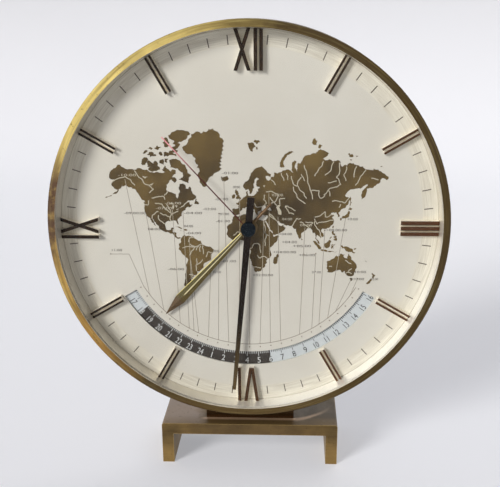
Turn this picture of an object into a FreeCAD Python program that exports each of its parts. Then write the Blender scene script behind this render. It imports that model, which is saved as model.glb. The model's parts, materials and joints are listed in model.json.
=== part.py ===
import FreeCAD, Part
import math
import os

# World time table clock. X runs to the right, Y from the dial to the back, Z up.
# The origin is on the table, at the middle of the clock's footprint box.
# A level is a distance behind the front face of the case ring.

# Case and glass
case_diameter = 245.0
case_wall = 3.8
lip_width = 4.45
lip_depth = 1.4
edge_break = 0.5
seat_clearance = 0.15
gasket_thickness = 0.5
gasket_lip_setback = 0.1
crystal_thickness = 1.8
flange_front_wall = 0.6
flange_back_wall = 1.3
back_plate_gap = 0.6
back_plate_thickness = 1.0
back_plate_bolt_rim = 0.4
back_screw_count = 6
back_screw_diameter = 2.2
back_screw_head_diameter = 3.4
back_screw_head_height = 1.2
back_screw_reach = 6.0

# Stand
stand_width = 116.4
stand_height = 28.5
stand_depth = 60.0
stand_setback = 3.56
stand_bar = 7.6
stand_corner_radius = 1.6
saddle_width = 58.4
saddle_setback = 14.1
saddle_height = 8.45
stand_screw_spacing = 36.0
stand_screw_diameter = 4.0
stand_screw_head_diameter = 7.4
stand_screw_head_height = 2.8
stand_screw_thread_reach = 2.6
screw_hole_clearance = 0.1

# Dial, markers and printed scale disc
dial_setback = 14.3
dial_thickness = 1.0
dial_hub_hole_diameter = 6.4
window_marker_gap = 1.2
window_width = 9.0
window_half_angle = 60.0
support_ring_width = 6.5
marker_length = 23.55
marker_height = 4.0
marker_bevel = 0.35
marker_end_clearance = 0.25
double_bar_width = 1.4
double_bar_pitch = 2.7
double_bar_web_height = 1.2
three_bar_width = 2.4
three_bar_pitch = 3.45
numeral_stroke = 2.1
cross_width = 10.0
twelve_first_bar_offset = 4.7
twelve_bar_pitch = 3.35
twelve_cross_offset = -3.1
nine_cross_offset = 0.8
nine_bar_offset = -6.4
six_vee_width = 9.8
six_vee_offset = -1.3
six_bar_offset = 6.6
scale_disc_overlap = 2.6
scale_disc_thickness = 0.8
scale_disc_gap = 0.4
scale_disc_hub_radius = 5.0

# Hands, as they stand in the rest pose, in degrees clockwise from twelve
minute_hand_angle = 185.3
hour_hand_angle = 223.2
second_hand_angle = 317.4
minute_hand_rim_gap = 9.1
minute_hand_tail = 19.5
minute_hand_width = 4.4
minute_hand_tip_width = 2.3
minute_hand_boss_radius = 3.6
minute_hand_thickness = 0.8
minute_hand_level = 7.6
hour_hand_window_gap = 5.3
hour_hand_tail = 20.7
hour_hand_tip = 13.5
hour_hand_shoulder_width = 6.8
hour_hand_neck_width = 2.3
hour_hand_tail_width = 1.5
hour_hand_tip_width = 0.4
hour_hand_boss_radius = 5.6
hour_hand_thickness = 1.1
hour_hand_edge_thickness = 0.4
hour_hand_level = 10.6
second_hand_window_gap = 7.5
second_hand_width = 0.7
second_hand_thickness = 0.4
second_hand_level = 6.4
hand_cap_radius = 4.65
hand_cap_height = 1.6
hand_cap_crown = 0.5

# Motion work behind the dial
gear_thickness = 1.2
gear_gap = 0.4
running_clearance = 0.05
addendum_share = 0.8
dedendum_share = 1.15
tooth_root_share = 0.31
tooth_tip_share = 0.11
seconds_arbor_radius = 0.75
minute_pipe_radius = 1.5
hour_pipe_radius = 2.4
stud_radius = 1.0
motion_module = 0.6
cannon_teeth = 10
minute_wheel_teeth = 30
minute_pinion_teeth = 8
hour_wheel_teeth = 32
setting_teeth = 10
change_module = 0.9
hour_pinion_teeth = 9
change_wheel_teeth = 27
change_pinion_teeth = 12
disc_gear_teeth = 24
minute_stud_direction = 90.0
change_stud_direction = 200.0
knob_radius = 8.0
knob_length = 6.5
knob_gap = 0.6
knob_grip_count = 18
knob_grip_radius = 0.8

# Movement plates and train
plate_thickness = 1.5
plate_rim = 2.0
train_height = 14.0
bridge_cover_gap = 4.8
bridge_holder_gap = 0.5
pillar_radius = 2.5
pillar_tenon_radius = 1.5
pillar_stud_radius = 1.2
pillar_stud_length = 4.0
pillar_rim = 1.5
pillar_low_offset = 34.0
pillar_low_drop = 19.0
arbor_radius = 0.6
pivot_recess = 0.4
wheel_thickness = 1.2
centre_pipe_radius = 1.4
train_module = 0.5
third_direction = 340.0
centre_wheel_teeth = 64
third_pinion_teeth = 8
third_wheel_teeth = 60
seconds_pinion_teeth = 8
seconds_module = 0.6
seconds_wheel_teeth = 48
fifth_pinion_teeth = 8
fifth_direction = 160.0
rotor_module = 0.45
fifth_wheel_teeth = 30
rotor_pinion_teeth = 6
rotor_direction = 200.0
centre_wheel_height = 1.5
third_wheel_height = 4.5
seconds_wheel_height = 7.5
fifth_wheel_height = 10.0
rotor_arbor_radius = 0.5
rotor_radius = 3.0
rotor_length = 4.0
rotor_height = 4.5
stator_gap = 0.5
stator_thickness = 1.5
stator_height = 5.5
stator_right = 18.5
stator_left = 31.0
stator_top = 19.0
stator_bottom = 13.0
stator_arm = 2.5
coil_offset = 37.0
core_width = 3.0
bobbin_bore_radius = 1.9
bobbin_wall = 0.7
bobbin_flange_radius = 5.5
bobbin_flange_thickness = 1.0
winding_radius = 5.0
board_left = 30.0
board_right = 6.0
board_bottom = 8.0
board_top = 33.0
board_thickness = 1.5
crystal_can_radius = 1.4
crystal_can_length = 8.0
crystal_can_drop = 4.0

# Movement cover, battery and fixings
cover_wall = 1.2
cover_depth = 22.0
cover_corner = 1.0
cover_screw_radius = 1.2
cover_screw_head_radius = 2.3
cover_screw_head_height = 1.5
cover_screw_reach = 5.0
nut_cover_gap = 0.6
bolt_radius = 1.5
bolt_head_radius = 2.8
bolt_head_height = 1.8
nut_height = 2.4
nut_radius = 3.0
battery_radius = 7.25
battery_length = 49.5
battery_nub_radius = 2.75
battery_nub_length = 1.0
battery_floor_gap = 0.25
holder_wall = 1.2
holder_floor = 1.0
holder_length = 56.0
holder_slack = 0.45
holder_cover_gap = 0.55
holder_train_gap = 1.9
holder_depth = 10.0
contact_thickness = 0.4
contact_size = 8.0
contact_bump_radius = 2.4
door_opening_length = 54.0
door_opening_height = 16.0
door_clearance = 0.3
door_overlap = 2.0
door_plate_thickness = 1.2
door_grip_count = 5
door_grip_pitch = 2.2
door_grip_radius = 0.5
door_grip_length = 12.0

screw_slot_share = 0.25
overrun = 1.0

# Sizes and places that follow from the values above
case_radius = case_diameter / 2
bore_radius = case_radius - case_wall
fitted_radius = bore_radius - seat_clearance
front_y = -(stand_setback + stand_depth) / 2
axis_height = stand_height + saddle_height + case_radius
crystal_level = lip_depth + gasket_thickness
flange_level = crystal_level + crystal_thickness
dial_back = dial_setback + dial_thickness
disc_level = dial_back + scale_disc_gap
disc_gear_level = disc_level + scale_disc_thickness
disc_gear_length = gear_thickness + gear_gap
hour_pinion_level = disc_gear_level + disc_gear_length + gear_gap
hour_wheel_level = hour_pinion_level + gear_thickness + gear_gap
minute_wheel_level = hour_wheel_level + gear_thickness + gear_gap
case_depth = minute_wheel_level + gear_thickness + back_plate_gap
back_plate_level = case_depth
plate_level = back_plate_level + back_plate_thickness
train_level = plate_level + plate_thickness
bridge_level = train_level + train_height
bridge_back = bridge_level + plate_thickness
cover_level = train_level + cover_depth - cover_wall
cover_back = train_level + cover_depth
full_turn = 2 * math.pi
dial_open_radius = bore_radius - flange_back_wall
marker_outer_radius = dial_open_radius - marker_end_clearance
marker_inner_radius = marker_outer_radius - marker_length
window_outer_radius = marker_inner_radius - window_marker_gap
window_inner_radius = window_outer_radius - window_width
scale_disc_radius = window_outer_radius + scale_disc_overlap
minute_hand_length = dial_open_radius - minute_hand_rim_gap
hour_hand_length = window_inner_radius - hour_hand_window_gap
second_hand_length = window_inner_radius - second_hand_window_gap
holder_inner_half = battery_radius + holder_slack
holder_outer_half = holder_inner_half + holder_wall


def polar(distance, degrees):
    """A spot at a distance from the clock's axis, in degrees from +X towards +Z."""
    turn = math.radians(degrees)
    return (distance * math.cos(turn), distance * math.sin(turn))


def clock_spot(radius, sideways, clock_degrees):
    """A spot beside a line that runs out from the axis at a clock angle."""
    turn = math.radians(clock_degrees)
    across = radius * math.sin(turn) + sideways * math.cos(turn)
    upward = radius * math.cos(turn) - sideways * math.sin(turn)
    return (across, upward)


def point(spot, level):
    return FreeCAD.Vector(spot[0], front_y + level, axis_height + spot[1])


def rod(spot, radius, level, length):
    """A solid cylinder along the clock's axis direction."""
    return Part.makeCylinder(radius, length, point(spot, level), FreeCAD.Vector(0, 1, 0))


def tube(spot, outer, inner, level, length):
    return rod(spot, outer, level, length).cut(rod(spot, inner, level - overrun, length + 2 * overrun))


def prism(outline, level, length):
    """A flat piece with the given outline of spots, as thick as its length."""
    corners = [point(spot, level) for spot in outline]
    face = Part.Face(Part.makePolygon(corners + corners[:1]))
    return face.extrude(FreeCAD.Vector(0, length, 0))


def block(left, right, bottom, top, level, length):
    return prism([(left, bottom), (right, bottom), (right, top), (left, top)], level, length)


def turned(profile):
    """A ring or disc turned about the clock's axis from (radius, level) corners."""
    corners = [point((radius, 0), level) for radius, level in profile]
    face = Part.Face(Part.makePolygon(corners + corners[:1]))
    return face.revolve(point((0, 0), 0), FreeCAD.Vector(0, 1, 0), 360)


def joined(shapes):
    return shapes[0].multiFuse(shapes[1:]).removeSplitter() if len(shapes) > 1 else shapes[0]


def drilled(shape, spots, radius, level, length):
    for spot in spots:
        shape = shape.cut(rod(spot, radius, level - overrun, length + 2 * overrun))
    return shape


def gear(teeth, module, level, length, bore, spot, phase):
    """A spur gear. The phase is the direction of one tooth, in radians from +X."""
    pitch_radius = teeth * module / 2
    tip = pitch_radius + addendum_share * module
    root = pitch_radius - dedendum_share * module
    step = full_turn / teeth
    shares = (
        (root, -tooth_root_share),
        (tip, -tooth_tip_share),
        (tip, tooth_tip_share),
        (root, tooth_root_share),
    )
    outline = []
    for tooth in range(teeth):
        for radius, share in shares:
            turn = phase + step * (tooth + share)
            outline.append((spot[0] + radius * math.cos(turn), spot[1] + radius * math.sin(turn)))
    wheel = prism(outline, level, length)
    return wheel.cut(rod(spot, bore, level - overrun, length + 2 * overrun))


def meshed(driver_teeth, driver_phase, teeth, degrees):
    """The phase that puts a gear in mesh with its driver, which lies against the given direction."""
    line = math.radians(degrees)
    return line + full_turn / 2 + full_turn / (2 * teeth) + (line - driver_phase) * driver_teeth / teeth


def beside(spot, distance, degrees):
    step = polar(distance, degrees)
    return (spot[0] + step[0], spot[1] + step[1])


def save(name, *solids):
    shape = solids[0] if len(solids) == 1 else Part.makeCompound(list(solids))
    shape.exportStep("parts/" + name + ".step")


# Spots that several pieces share, and the movement's outline, which grows from its train and battery
centre = (0, 0)
minute_distance = (cannon_teeth + minute_wheel_teeth) * motion_module / 2
setting_distance = (minute_wheel_teeth + setting_teeth) * motion_module / 2
minute_spot = polar(minute_distance, minute_stud_direction)
setting_spot = beside(minute_spot, setting_distance, minute_stud_direction)
change_distance = (hour_pinion_teeth + change_wheel_teeth) * change_module / 2
change_spot = polar(change_distance, change_stud_direction)
third_distance = (third_wheel_teeth + seconds_pinion_teeth) * train_module / 2
third_spot = polar(third_distance, third_direction)
fifth_distance = (seconds_wheel_teeth + fifth_pinion_teeth) * seconds_module / 2
fifth_spot = polar(fifth_distance, fifth_direction)
rotor_distance = (fifth_wheel_teeth + rotor_pinion_teeth) * rotor_module / 2
rotor_spot = beside(fifth_spot, rotor_distance, rotor_direction)
third_wheel_bottom = (third_wheel_teeth / 2 + addendum_share) * train_module - third_spot[1]
holder_top = third_wheel_bottom + holder_train_gap
battery_drop = holder_top + holder_outer_half
holder_bottom = battery_drop + holder_outer_half
cover_inner_radius = math.hypot(holder_length / 2 + holder_wall, holder_bottom) + holder_cover_gap
cover_radius = cover_inner_radius + cover_wall
plate_radius = cover_radius + plate_rim
bridge_radius = cover_inner_radius - bridge_cover_gap
bridge_bottom = holder_top - bridge_holder_gap
bolt_circle_radius = cover_inner_radius - nut_radius - nut_cover_gap
back_plate_hole_radius = bolt_circle_radius - bolt_head_radius - back_plate_bolt_rim
pillar_spots = [
    (0, bridge_radius - pillar_radius - pillar_rim),
    (-pillar_low_offset, -pillar_low_drop),
    (pillar_low_offset, -pillar_low_drop),
]
bolt_spots = [polar(bolt_circle_radius, 45 + 90 * quarter) for quarter in range(4)]
back_screw_radius = bore_radius + case_wall / 2
back_screw_spots = [
    polar(back_screw_radius, 90 + 360 * number / back_screw_count)
    for number in range(back_screw_count)
]
stand_screw_spots = [-stand_screw_spacing / 2, stand_screw_spacing / 2]
stand_screw_level = (saddle_setback + case_depth) / 2


def upright(x, radius, bottom, length, level):
    """A vertical cylinder, its bottom at a height above the table."""
    base = FreeCAD.Vector(x, front_y + level, bottom)
    return Part.makeCylinder(radius, length, base, FreeCAD.Vector(0, 0, 1))


def stand_screw_holes(shape):
    hole_radius = stand_screw_diameter / 2 + screw_hole_clearance
    bottom = stand_height - stand_bar - overrun
    for x in stand_screw_spots:
        ring_bottom = axis_height - math.sqrt(case_radius**2 - x**2)
        length = ring_bottom + stand_screw_thread_reach + screw_hole_clearance - bottom
        shape = shape.cut(upright(x, hole_radius, bottom, length, stand_screw_level))
    return shape


# Stand
def stand_bench():
    """A flat bar bent into a low bench, legs as deep as its top."""
    half = stand_width / 2
    table = -axis_height
    top = table + stand_height
    body = block(-half, half, table, top, stand_setback, stand_depth)
    rounded = [
        edge
        for edge in body.Edges
        if edge.BoundBox.YLength > stand_depth / 2 and edge.CenterOfMass.z > stand_height / 2
    ]
    body = body.makeFillet(stand_corner_radius, rounded)
    inner = half - stand_bar
    front = stand_setback - overrun
    gap = block(-inner, inner, table - overrun, top - stand_bar, front, stand_depth + 2 * overrun)
    save("stand_bench", stand_screw_holes(body.cut(gap)))


def saddle_block():
    """The spacer between bench and case, hollowed on top to the case's curve."""
    half = saddle_width / 2
    bottom = stand_height - axis_height
    depth = case_depth - saddle_setback
    body = block(-half, half, bottom, bottom + case_radius / 2, saddle_setback, depth)
    body = body.cut(rod(centre, case_radius, saddle_setback - overrun, depth + 2 * overrun))
    save("saddle_block", stand_screw_holes(body))


def stand_screws():
    screws = []
    for x in stand_screw_spots:
        under = stand_height - stand_bar
        ring_bottom = axis_height - math.sqrt(case_radius**2 - x**2)
        length = ring_bottom + stand_screw_thread_reach - under
        head_height = stand_screw_head_height
        head_bottom = under - head_height
        head = upright(x, stand_screw_head_diameter / 2, head_bottom, head_height, stand_screw_level)
        shank = upright(x, stand_screw_diameter / 2, under, length, stand_screw_level)
        screws.append(joined([head, shank]))
    save("stand_screws", *screws)


# Case
def case_ring():
    lip_radius = case_radius - lip_width
    ring = turned(
        [
            (lip_radius, 0),
            (case_radius - edge_break, 0),
            (case_radius, edge_break),
            (case_radius, case_depth - edge_break),
            (case_radius - edge_break, case_depth),
            (bore_radius, case_depth),
            (bore_radius, lip_depth),
            (lip_radius, lip_depth),
        ]
    )
    hole_radius = back_screw_diameter / 2 + screw_hole_clearance
    ring = drilled(ring, back_screw_spots, hole_radius, case_depth - back_screw_reach, back_screw_reach)
    save("case_ring", stand_screw_holes(ring))


def glass_and_gasket():
    inner_radius = case_radius - lip_width + gasket_lip_setback
    save("crystal_gasket", tube(centre, fitted_radius, inner_radius, lip_depth, gasket_thickness))
    save("crystal", rod(centre, fitted_radius, crystal_level, crystal_thickness))


def dial_flange():
    """The silver wall between the glass and the dial."""
    flange = turned(
        [
            (bore_radius - flange_front_wall, flange_level),
            (fitted_radius, flange_level),
            (fitted_radius, dial_setback),
            (dial_open_radius, dial_setback),
        ]
    )
    save("dial_flange", flange)


def dial_support_ring():
    depth = back_plate_level - dial_back
    inner_radius = fitted_radius - support_ring_width
    save("dial_support_ring", tube(centre, fitted_radius, inner_radius, dial_back, depth))


def back_plate():
    radius = case_radius - edge_break
    plate = tube(centre, radius, back_plate_hole_radius, back_plate_level, back_plate_thickness)
    hole_radius = back_screw_diameter / 2 + screw_hole_clearance
    plate = drilled(plate, back_screw_spots, hole_radius, back_plate_level, back_plate_thickness)
    hole_radius = bolt_radius + screw_hole_clearance
    plate = drilled(plate, bolt_spots, hole_radius, back_plate_level, back_plate_thickness)
    save("back_plate", plate)


def screw(spot, radius, head_radius, head_height, seat_level, reach):
    """A screw driven in from the back, its head on the seat level."""
    head = rod(spot, head_radius, seat_level, head_height)
    slot_half = radius * screw_slot_share
    slot_level = seat_level + head_height / 2
    left = spot[0] - head_radius
    right = spot[0] + head_radius
    slot = block(left, right, spot[1] - slot_half, spot[1] + slot_half, slot_level, head_height)
    return joined([head.cut(slot), rod(spot, radius, seat_level - reach, reach)])


def back_plate_screws():
    seat = back_plate_level + back_plate_thickness
    reach = back_screw_reach - overrun
    radius = back_screw_diameter / 2
    head_radius = back_screw_head_diameter / 2
    head_height = back_screw_head_height
    screws = [screw(spot, radius, head_radius, head_height, seat, reach) for spot in back_screw_spots]
    save("back_plate_screws", *screws)


# Dial and markers
def line(first, last, level):
    return Part.LineSegment(point(first, level), point(last, level)).toShape()


def arc(first, middle, last, level):
    return Part.Arc(point(first, level), point(middle, level), point(last, level)).toShape()


def window_cutter(level, length):
    """The curved window's shape, its middle at six o'clock."""
    inner = window_inner_radius
    outer = window_outer_radius
    angles = (180 - window_half_angle, 180, 180 + window_half_angle)
    inner_spots = [clock_spot(inner, 0, angle) for angle in angles]
    outer_spots = [clock_spot(outer, 0, angle) for angle in angles]
    edges = [
        arc(*inner_spots, level),
        line(inner_spots[2], outer_spots[2], level),
        arc(*reversed(outer_spots), level),
        line(outer_spots[0], inner_spots[0], level),
    ]
    return Part.Face(Part.Wire(edges)).extrude(FreeCAD.Vector(0, length, 0))


def dial():
    plate = tube(centre, fitted_radius, dial_hub_hole_diameter / 2, dial_setback, dial_thickness)
    save("dial", plate.cut(window_cutter(dial_setback - overrun, dial_thickness + 2 * overrun)))


def marker_stroke(start, end, width):
    """A straight applied bar between two spots, with a bevel round its raised face."""
    along = math.hypot(end[0] - start[0], end[1] - start[1])
    side = (-(end[1] - start[1]) / along, (end[0] - start[0]) / along)
    half = width / 2
    outline = [
        (start[0] + side[0] * half, start[1] + side[1] * half),
        (end[0] + side[0] * half, end[1] + side[1] * half),
        (end[0] - side[0] * half, end[1] - side[1] * half),
        (start[0] - side[0] * half, start[1] - side[1] * half),
    ]
    face_level = dial_setback - marker_height
    bar = prism(outline, face_level, marker_height)
    middle_y = front_y + face_level + marker_height / 2
    raised = [edge for edge in bar.Edges if edge.BoundBox.YMax < middle_y]
    long_edges = [edge for edge in raised if edge.Length > along / 2]
    return bar.makeChamfer(marker_bevel, long_edges)


def marker_limit():
    """The space that the markers' outer ends stay within, just inside the flange."""
    return rod(centre, marker_outer_radius, dial_setback - marker_height, marker_height)


def radial_bar(clock_degrees, sideways, width):
    start = clock_spot(marker_inner_radius, sideways, clock_degrees)
    end = clock_spot(bore_radius, sideways, clock_degrees)
    return marker_stroke(start, end, width).common(marker_limit())


def cross(clock_degrees, sideways):
    """Two strokes that cross at the middle of the marker's length."""
    half = (cross_width - numeral_stroke) / 2
    strokes = []
    for hand in (-1, 1):
        start = clock_spot(marker_inner_radius, sideways - hand * half, clock_degrees)
        end = clock_spot(dial_open_radius, sideways + hand * half, clock_degrees)
        strokes.append(trimmed_stroke(start, end, clock_degrees))
    return joined(strokes)


def trimmed_stroke(start, end, clock_degrees):
    """A slanted stroke whose inner end is cut square to the marker's radius."""
    reach = numeral_stroke / math.hypot(end[0] - start[0], end[1] - start[1])
    longer_start = tuple(a + (a - b) * reach for a, b in zip(start, end))
    longer_end = tuple(b + (b - a) * reach for a, b in zip(start, end))
    stroke = marker_stroke(longer_start, longer_end, numeral_stroke)
    inside = [
        clock_spot(0, -marker_inner_radius, clock_degrees),
        clock_spot(0, marker_inner_radius, clock_degrees),
        clock_spot(marker_inner_radius, marker_inner_radius, clock_degrees),
        clock_spot(marker_inner_radius, -marker_inner_radius, clock_degrees),
    ]
    keep_out = prism(inside, dial_setback - marker_height - overrun, marker_height + 2 * overrun)
    return stroke.cut(keep_out).common(marker_limit())


def vee(clock_degrees, sideways):
    """Two strokes that meet at the marker's inner end, so it points to the axis."""
    spread = (six_vee_width - numeral_stroke) / 2
    meeting = numeral_stroke / 4
    strokes = []
    for hand in (-1, 1):
        start = clock_spot(marker_inner_radius, sideways + hand * meeting, clock_degrees)
        end = clock_spot(dial_open_radius, sideways + hand * spread, clock_degrees)
        strokes.append(trimmed_stroke(start, end, clock_degrees))
    return joined(strokes)


def double_bar(clock_degrees):
    """Two raised bars on a low web, cut as one piece."""
    bars = [radial_bar(clock_degrees, hand * double_bar_pitch / 2, double_bar_width) for hand in (-1, 1)]
    half = double_bar_pitch / 2
    outline = [
        clock_spot(marker_inner_radius, -half, clock_degrees),
        clock_spot(bore_radius, -half, clock_degrees),
        clock_spot(bore_radius, half, clock_degrees),
        clock_spot(marker_inner_radius, half, clock_degrees),
    ]
    web = prism(outline, dial_setback - double_bar_web_height, double_bar_web_height)
    return joined(bars + [web.common(marker_limit())])


def hour_markers():
    save("hour_bars", *[double_bar(hour * 30) for hour in (1, 2, 4, 5, 7, 8, 10, 11)])
    last_bar_offset = twelve_first_bar_offset + twelve_bar_pitch
    offsets = (twelve_first_bar_offset, last_bar_offset)
    twelve_bars = [radial_bar(0, offset, numeral_stroke) for offset in offsets]
    save("numeral_twelve", cross(0, twelve_cross_offset), *twelve_bars)
    save("numeral_three", *[radial_bar(90, step * three_bar_pitch, three_bar_width) for step in (-1, 0, 1)])
    save("numeral_six", vee(180, six_vee_offset), radial_bar(180, six_bar_offset, numeral_stroke))
    save("numeral_nine", cross(270, nine_cross_offset), radial_bar(270, nine_bar_offset, numeral_stroke))


# Hands
def tapered(clock_degrees, stations, level, length):
    """A flat hand from (distance, width) stations along its clock angle."""
    right = [clock_spot(distance, width / 2, clock_degrees) for distance, width in stations]
    left = [clock_spot(distance, -width / 2, clock_degrees) for distance, width in reversed(stations)]
    return prism(right + left, level, length)


def minute_hand():
    stations = [
        (-minute_hand_tail, minute_hand_width),
        (0, minute_hand_width),
        (minute_hand_length, minute_hand_tip_width),
    ]
    blade = tapered(minute_hand_angle, stations, minute_hand_level, minute_hand_thickness)
    boss = rod(centre, minute_hand_boss_radius, minute_hand_level, minute_hand_thickness)
    body = joined([blade, boss])
    hole = rod(centre, minute_pipe_radius, minute_hand_level - overrun, minute_hand_thickness + 2 * overrun)
    save("minute_hand", body.cut(hole))


def roofed(clock_degrees, stations, level, edge_thickness, ridge_thickness):
    """A hand with a ridge along its middle, flat at the back, from triangles."""
    back = level + ridge_thickness
    edge_level = back - edge_thickness
    rings = []
    for distance, width in stations:
        left = clock_spot(distance, -width / 2, clock_degrees)
        middle = clock_spot(distance, 0, clock_degrees)
        right = clock_spot(distance, width / 2, clock_degrees)
        corners = ((left, back), (left, edge_level), (middle, level), (right, edge_level), (right, back))
        rings.append([point(spot, corner_level) for spot, corner_level in corners])
    triangles = []
    for first, second in zip(rings, rings[1:]):
        for number in range(len(first)):
            following = (number + 1) % len(first)
            triangles.append((first[number], second[number], second[following]))
            triangles.append((first[number], second[following], first[following]))
    for ring in (rings[0], rings[-1]):
        for number in range(1, len(ring) - 1):
            triangles.append((ring[0], ring[number], ring[number + 1]))
    faces = [Part.Face(Part.makePolygon([a, b, c, a])) for a, b, c in triangles]
    solid = Part.makeSolid(Part.makeShell(faces))
    if solid.Volume < 0:
        solid.reverse()
    return solid


def hour_hand():
    stations = [
        (-hour_hand_tail, hour_hand_tail_width),
        (0, hour_hand_neck_width),
        (hour_hand_length - hour_hand_tip, hour_hand_shoulder_width),
        (hour_hand_length, hour_hand_tip_width),
    ]
    blade = roofed(hour_hand_angle, stations, hour_hand_level, hour_hand_edge_thickness, hour_hand_thickness)
    boss = rod(centre, hour_hand_boss_radius, hour_hand_level, hour_hand_thickness)
    body = blade.fuse(boss)
    hole = rod(centre, hour_pipe_radius, hour_hand_level - overrun, hour_hand_thickness + 2 * overrun)
    save("hour_hand", body.cut(hole))


def second_hand():
    stations = [(0, second_hand_width), (second_hand_length, second_hand_width)]
    blade = tapered(second_hand_angle, stations, second_hand_level, second_hand_thickness)
    boss = rod(centre, seconds_arbor_radius + second_hand_width, second_hand_level, second_hand_thickness)
    hole = rod(centre, seconds_arbor_radius, second_hand_level - overrun, second_hand_thickness + 2 * overrun)
    save("second_hand", joined([blade, boss]).cut(hole))


def hand_cap():
    """The round cap in front of the hands, a turned disc with a soft crown."""
    back = second_hand_level
    front = back - hand_cap_height
    cap = turned(
        [
            (0, front),
            (hand_cap_radius - hand_cap_crown, front),
            (hand_cap_radius, front + hand_cap_crown),
            (hand_cap_radius, back),
            (seconds_arbor_radius, back),
            (seconds_arbor_radius, back - hand_cap_height / 2),
            (0, back - hand_cap_height / 2),
        ]
    )
    save("hand_cap", cap)


# Motion work
def minute_and_hour_wheels():
    """The cannon pinion, the minute wheel on its stud, and the hour pipe with its wheel."""
    bore = seconds_arbor_radius + running_clearance
    stud_bore = stud_radius + running_clearance
    level = minute_wheel_level
    pipe_length = level + gear_thickness - minute_hand_level
    pipe = tube(centre, minute_pipe_radius, bore, minute_hand_level, pipe_length)
    cannon = gear(cannon_teeth, motion_module, level, gear_thickness, bore, centre, 0)
    save("cannon_pinion", joined([pipe, cannon]))

    teeth = minute_wheel_teeth
    phase = meshed(cannon_teeth, 0, teeth, minute_stud_direction)
    save("minute_wheel", gear(teeth, motion_module, level, gear_thickness, stud_bore, minute_spot, phase))

    setting_phase = meshed(teeth, phase, setting_teeth, minute_stud_direction)
    setting_gear = gear(
        setting_teeth, motion_module, level, gear_thickness, stud_radius, setting_spot, setting_phase
    )
    arbor_end = cover_back + knob_gap + knob_length / 2
    save("setting_arbor", joined([setting_gear, rod(setting_spot, stud_radius, level, arbor_end - level)]))

    teeth = minute_pinion_teeth
    phase = meshed(hour_wheel_teeth, 0, teeth, minute_stud_direction)
    length = minute_wheel_level - hour_wheel_level
    pinion = gear(teeth, motion_module, hour_wheel_level, length, stud_bore, minute_spot, phase)
    save("minute_pinion", pinion)

    hour_bore = minute_pipe_radius + running_clearance
    length = hour_wheel_level + gear_thickness - hour_hand_level
    hour_pipe = tube(centre, hour_pipe_radius, hour_bore, hour_hand_level, length)
    teeth = hour_pinion_teeth
    hour_pinion = gear(teeth, change_module, hour_pinion_level, gear_thickness, hour_bore, centre, 0)
    save("hour_pipe", joined([hour_pipe, hour_pinion]))
    teeth = hour_wheel_teeth
    level = hour_wheel_level
    save("hour_wheel", gear(teeth, motion_module, level, gear_thickness, hour_pipe_radius, centre, 0))


def scale_disc_drive():
    """The printed disc, the gear on its hub and the wheel pair that slows the hour pipe down for it."""
    stud_bore = stud_radius + running_clearance
    teeth = change_wheel_teeth
    level = hour_pinion_level
    phase = meshed(hour_pinion_teeth, 0, teeth, change_stud_direction)
    save("change_wheel", gear(teeth, change_module, level, gear_thickness, stud_bore, change_spot, phase))
    teeth = change_pinion_teeth
    phase = meshed(disc_gear_teeth, 0, teeth, change_stud_direction)
    level = disc_gear_level + gear_gap
    length = hour_pinion_level - level
    save("change_pinion", gear(teeth, change_module, level, length, stud_bore, change_spot, phase))

    disc_bore = hour_pipe_radius + running_clearance
    thickness = scale_disc_thickness
    save("scale_disc", tube(centre, scale_disc_radius, scale_disc_hub_radius, disc_level, thickness))
    teeth = disc_gear_teeth
    wheel = gear(teeth, change_module, disc_gear_level, disc_gear_length, disc_bore, centre, 0)
    hub = tube(centre, scale_disc_hub_radius, disc_bore, disc_level, thickness)
    save("disc_gear", joined([hub, wheel]))

    minute_stud = rod(minute_spot, stud_radius, hour_wheel_level, train_level - hour_wheel_level)
    change_stud = rod(change_spot, stud_radius, level, train_level - level)
    save("wheel_studs", minute_stud, change_stud)


def setting_knob():
    level = cover_back + knob_gap
    knob = rod(setting_spot, knob_radius, level, knob_length)
    for number in range(knob_grip_count):
        spot = beside(setting_spot, knob_radius, 360 * number / knob_grip_count)
        knob = knob.cut(rod(spot, knob_grip_radius, level - overrun, knob_length + 2 * overrun))
    save("setting_knob", knob.cut(rod(setting_spot, stud_radius, level - overrun, knob_length / 2 + overrun)))


# Movement frame
def movement_plates():
    plate = rod(centre, plate_radius, plate_level, plate_thickness)
    plate = drilled(plate, bolt_spots, bolt_radius + screw_hole_clearance, plate_level, plate_thickness)
    plate = drilled(plate, pillar_spots, pillar_tenon_radius, plate_level, plate_thickness)
    plate = drilled(plate, [minute_spot, change_spot], stud_radius, plate_level, plate_thickness)
    plate = drilled(plate, [setting_spot], stud_radius + running_clearance, plate_level, plate_thickness)
    plate = drilled(plate, [centre], centre_pipe_radius + running_clearance, plate_level, plate_thickness)
    train_spots = [third_spot, fifth_spot]
    arbor_hole = arbor_radius + running_clearance
    rotor_hole = rotor_arbor_radius + running_clearance
    plate = drilled(plate, train_spots, arbor_hole, plate_level, plate_thickness)
    save("movement_front_plate", drilled(plate, [rotor_spot], rotor_hole, plate_level, plate_thickness))

    radius = bridge_radius
    bridge = rod(centre, radius, bridge_level, plate_thickness)
    cut_level = bridge_level - overrun
    cut_length = plate_thickness + 2 * overrun
    bridge = bridge.cut(block(-radius, radius, -radius, -bridge_bottom, cut_level, cut_length))
    bridge = drilled(bridge, pillar_spots, pillar_stud_radius, bridge_level, plate_thickness)
    bridge = drilled(bridge, [setting_spot], stud_radius + running_clearance, bridge_level, plate_thickness)
    seconds_hole = seconds_arbor_radius + running_clearance
    bridge = drilled(bridge, [centre], seconds_hole, bridge_level, plate_thickness)
    bridge = drilled(bridge, train_spots, arbor_hole, bridge_level, plate_thickness)
    save("movement_back_plate", drilled(bridge, [rotor_spot], rotor_hole, bridge_level, plate_thickness))


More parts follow.
